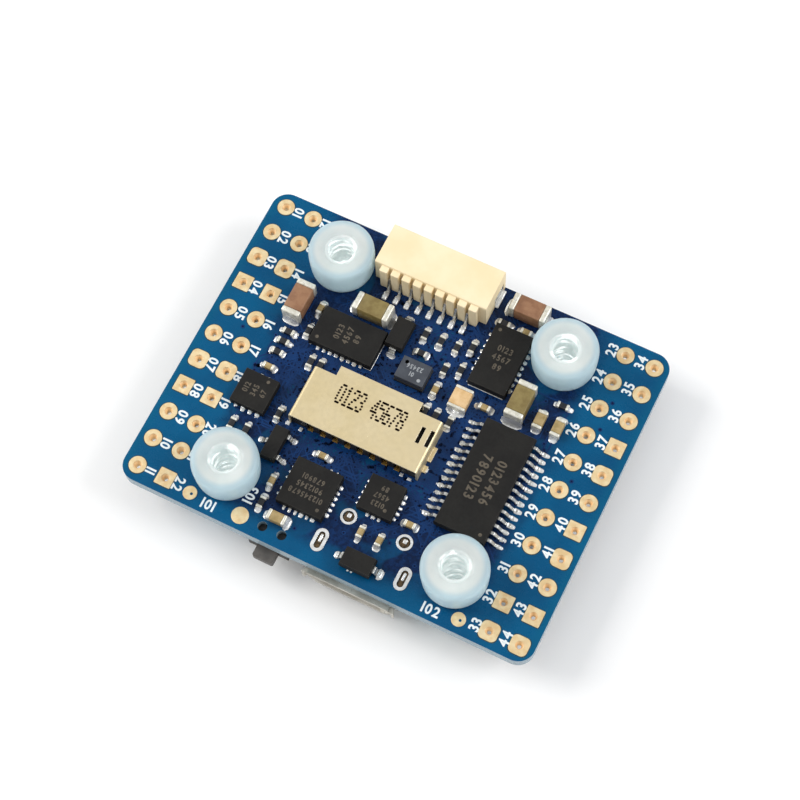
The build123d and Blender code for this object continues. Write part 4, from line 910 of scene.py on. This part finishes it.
# %% Pad numbers
middles = pad_middles[np.lexsort((-pad_middles[:, 1], np.round(pad_middles[:, 0], 1)))]
labels = []
for number, (x, y) in enumerate(middles, start=1):
    side = 1.0 if x < 0 else -1.0
    labels.append((f"{number:02d}", x + side * number_offset, y, -90 * side))
front = board_low[1]
labels += [("101", -10.1, front + 0.83, 0), ("102", 9.45, front + 0.85, 0)]
labels += [("103", -7.45, front + 3.0, 90)]
ink_level, ink_thick = top + 0.002, 0.014
front_dots = np.array([[2.25, front + 0.85], [2.55, front + 0.85]])
first_pin = np.array([[-9.25, 2.75]])
ink = [
    numbers(labels, 0.88, ink_level, ink_thick),
    discs(front_dots, 0.09, ink_level, ink_thick),
    discs(first_pin, 0.22, ink_level, ink_thick),
]
make_piece("white_numbers", *join(ink), silk_ink, "board")

# %% [markdown]
# ## Marks on the chips
# Chips carry faint laser-etched rows. Here they are only counting digits, with a round dot at
# pin 1. The card socket's lid has a stencil of ink dots: each digit is a grid of five by seven
# places, and a place holds a dot or nothing.


# %% Etched rows
def etched_rows(chip, texts, height, turn, dot_at):
    """Rows of digits on a chip's top, and its pin 1 dot; dot_at is in shares of the half size."""
    low, high = box_of(chip)
    centre, half = (low + high) / 2, (high - low) / 2
    level = high[2] - 0.001
    spacing = height * 1.5
    rows = []
    for index, text in enumerate(texts):
        drop = ((len(texts) - 1) / 2 - index) * spacing
        x = centre[0] - sin(radians(turn)) * drop
        y = centre[1] + cos(radians(turn)) * drop
        rows.append((text, x, y, turn))
    etched = numbers(rows, height, level, 0.006, 0.2, 0.85)
    spot = centre[:2] + half[:2] * np.array(dot_at)
    return join([etched, discs(spot[None], 0.15, level, 0.006, 20)])


etched = [
    etched_rows("video_chip", ["0123456", "7890123"], 0.85, -90, (0.72, -0.88)),
    etched_rows("motion_sensor_large", ["012345678", "9012345", "678901"], 0.48, 180, (0.7, -0.72)),
    etched_rows("motion_sensor_small", ["0123", "4567", "89"], 0.46, 180, (0.5, -0.62)),
    etched_rows("regulator_left", ["0123", "4567", "89"], 0.55, 90, (-0.8, -0.7)),
    etched_rows("regulator_right", ["0123", "4567", "89"], 0.55, 0, (-0.7, 0.82)),
    etched_rows("switch_chip", ["012", "345", "67"], 0.5, 90, (0.45, 0.72)),
]
make_piece("etched_marks", *join(etched), etched_grey, "chip_epoxy")
lid_rows = etched_rows("pressure_sensor_lid", ["01", "23456"], 0.4, 180, (0.6, -0.6))
make_piece("lid_marks", *lid_rows, lid_grey, "sensor_lid")

# %% Dotted code on the card socket
dot_rows = {
    "0": "01110 10001 10001 10001 10001 10001 01110", "1": "00100 01100 00100 00100 00100 00100 01110",
    "2": "01110 10001 00001 00110 01000 10000 11111", "3": "01110 10001 00001 00110 00001 10001 01110",
    "4": "00010 00110 01010 10010 11111 00010 00010", "5": "11111 10000 11110 00001 00001 10001 01110",
    "6": "01110 10000 10000 11110 10001 10001 01110", "7": "11111 00001 00010 00100 00100 01000 01000",
    "8": "01110 10001 10001 01110 10001 10001 01110",
}
shell_low, shell_high = box_of("card_socket_shell")
shell_middle = (shell_low + shell_high) / 2


def dotted(text, x, y, pitch_x, pitch_y):
    """Centres of the ink dots: column and row numbers of every 1 in the grids, times the pitch."""
    spots = []
    for index, digit in enumerate(text):
        if digit in dot_rows:
            grid = np.array([[int(mark) for mark in row] for row in dot_rows[digit].split()])
            row, column = np.nonzero(grid)
            spots.append(np.stack([x + (column + 6 * index) * pitch_x, y - row * pitch_y], 1))
    return np.concatenate(spots)


code = dotted("0123 45678", shell_middle[0] - 2.9, shell_middle[1] + 1.4, 0.1, 0.26)
make_piece("dotted_code", *discs(code, 0.105, shell_high[2] - 0.001, 0.006, 8), code_ink, "board")

# %% [markdown]
# ## Floor, light and camera
# The board lies on a plain white table between two soft lamps, with pale light all round. The
# lamps stand to the sides, so that no flat top mirrors one into the camera. The camera looks
# down from the front right with a long lens, turned about its own axis.

# %% Floor
floor_size = 900.0
floor_points = np.array([(-1, -1, 0), (1, -1, 0), (1, 1, 0), (-1, 1, 0)]) * floor_size
floor_points[:, 2] = -0.01
floor_mesh = bpy.data.meshes.new("table")
floor_mesh.from_pydata((floor_points * 0.001).tolist(), [], [(0, 1, 2, 3)])
floor_mesh.materials.append(finish("white_table", "ffffff", "fcfcfc", 0.6, 0.8, 60.0, 2.0, 0.001))
floor = bpy.data.objects.new("table", floor_mesh)
bpy.context.scene.collection.objects.link(floor)


# %% Lights
def soft_lamp(name, place_mm, size, power, colour):
    """A square lamp aimed at the middle of the board."""
    lamp = bpy.data.lights.new(name, "AREA")
    lamp.size, lamp.energy, lamp.color = size, power, colour
    holder = bpy.data.objects.new(name, lamp)
    bpy.context.scene.collection.objects.link(holder)
    away = np.array(place_mm) - np.array([0, 0, 4.0])
    back = away / np.linalg.norm(away)
    side = np.cross([0.0, 1.0, 0.0], back)
    side = side / np.linalg.norm(side)
    upward = np.cross(back, side)
    turn = Matrix([[side[i], upward[i], back[i]] for i in range(3)])
    holder.matrix_world = Matrix.Translation([v * 0.001 for v in place_mm]) @ turn.to_4x4()
    return holder


soft_lamp("left_lamp", (-420.0, -60.0, 330.0), 0.3, 1.7, (1.0, 0.99, 0.97))
soft_lamp("right_lamp", (360.0, 160.0, 300.0), 0.25, 1.0, (0.97, 0.98, 1.0))
world = bpy.data.worlds.new("pale_room")
bpy.context.scene.world = world
world.use_nodes = True
world.node_tree.nodes["Background"].inputs["Color"].default_value = (0.98, 0.99, 1.0, 1.0)
world.node_tree.nodes["Background"].inputs["Strength"].default_value = 0.62
bpy.context.scene.view_settings.view_transform = "Standard"

# %% Camera
camera_data = bpy.data.cameras.new("camera")
camera_data.lens = 87.9
camera_data.sensor_width = 36.0
camera_data.clip_start = 0.01
camera = bpy.data.objects.new("camera", camera_data)
bpy.context.scene.collection.objects.link(camera)
right = np.array([0.89405011, 0.44682237, -0.03200265])
down = np.array([0.40507111, -0.8368792, -0.36817196])
ahead = np.array([-0.19128982, 0.31620084, -0.92920678])
turn = Matrix([[right[i], -down[i], -ahead[i]] for i in range(3)])
camera.matrix_world = Matrix.Translation((0.0295327, -0.0482014, 0.149908)) @ turn.to_4x4()
bpy.context.scene.camera = camera
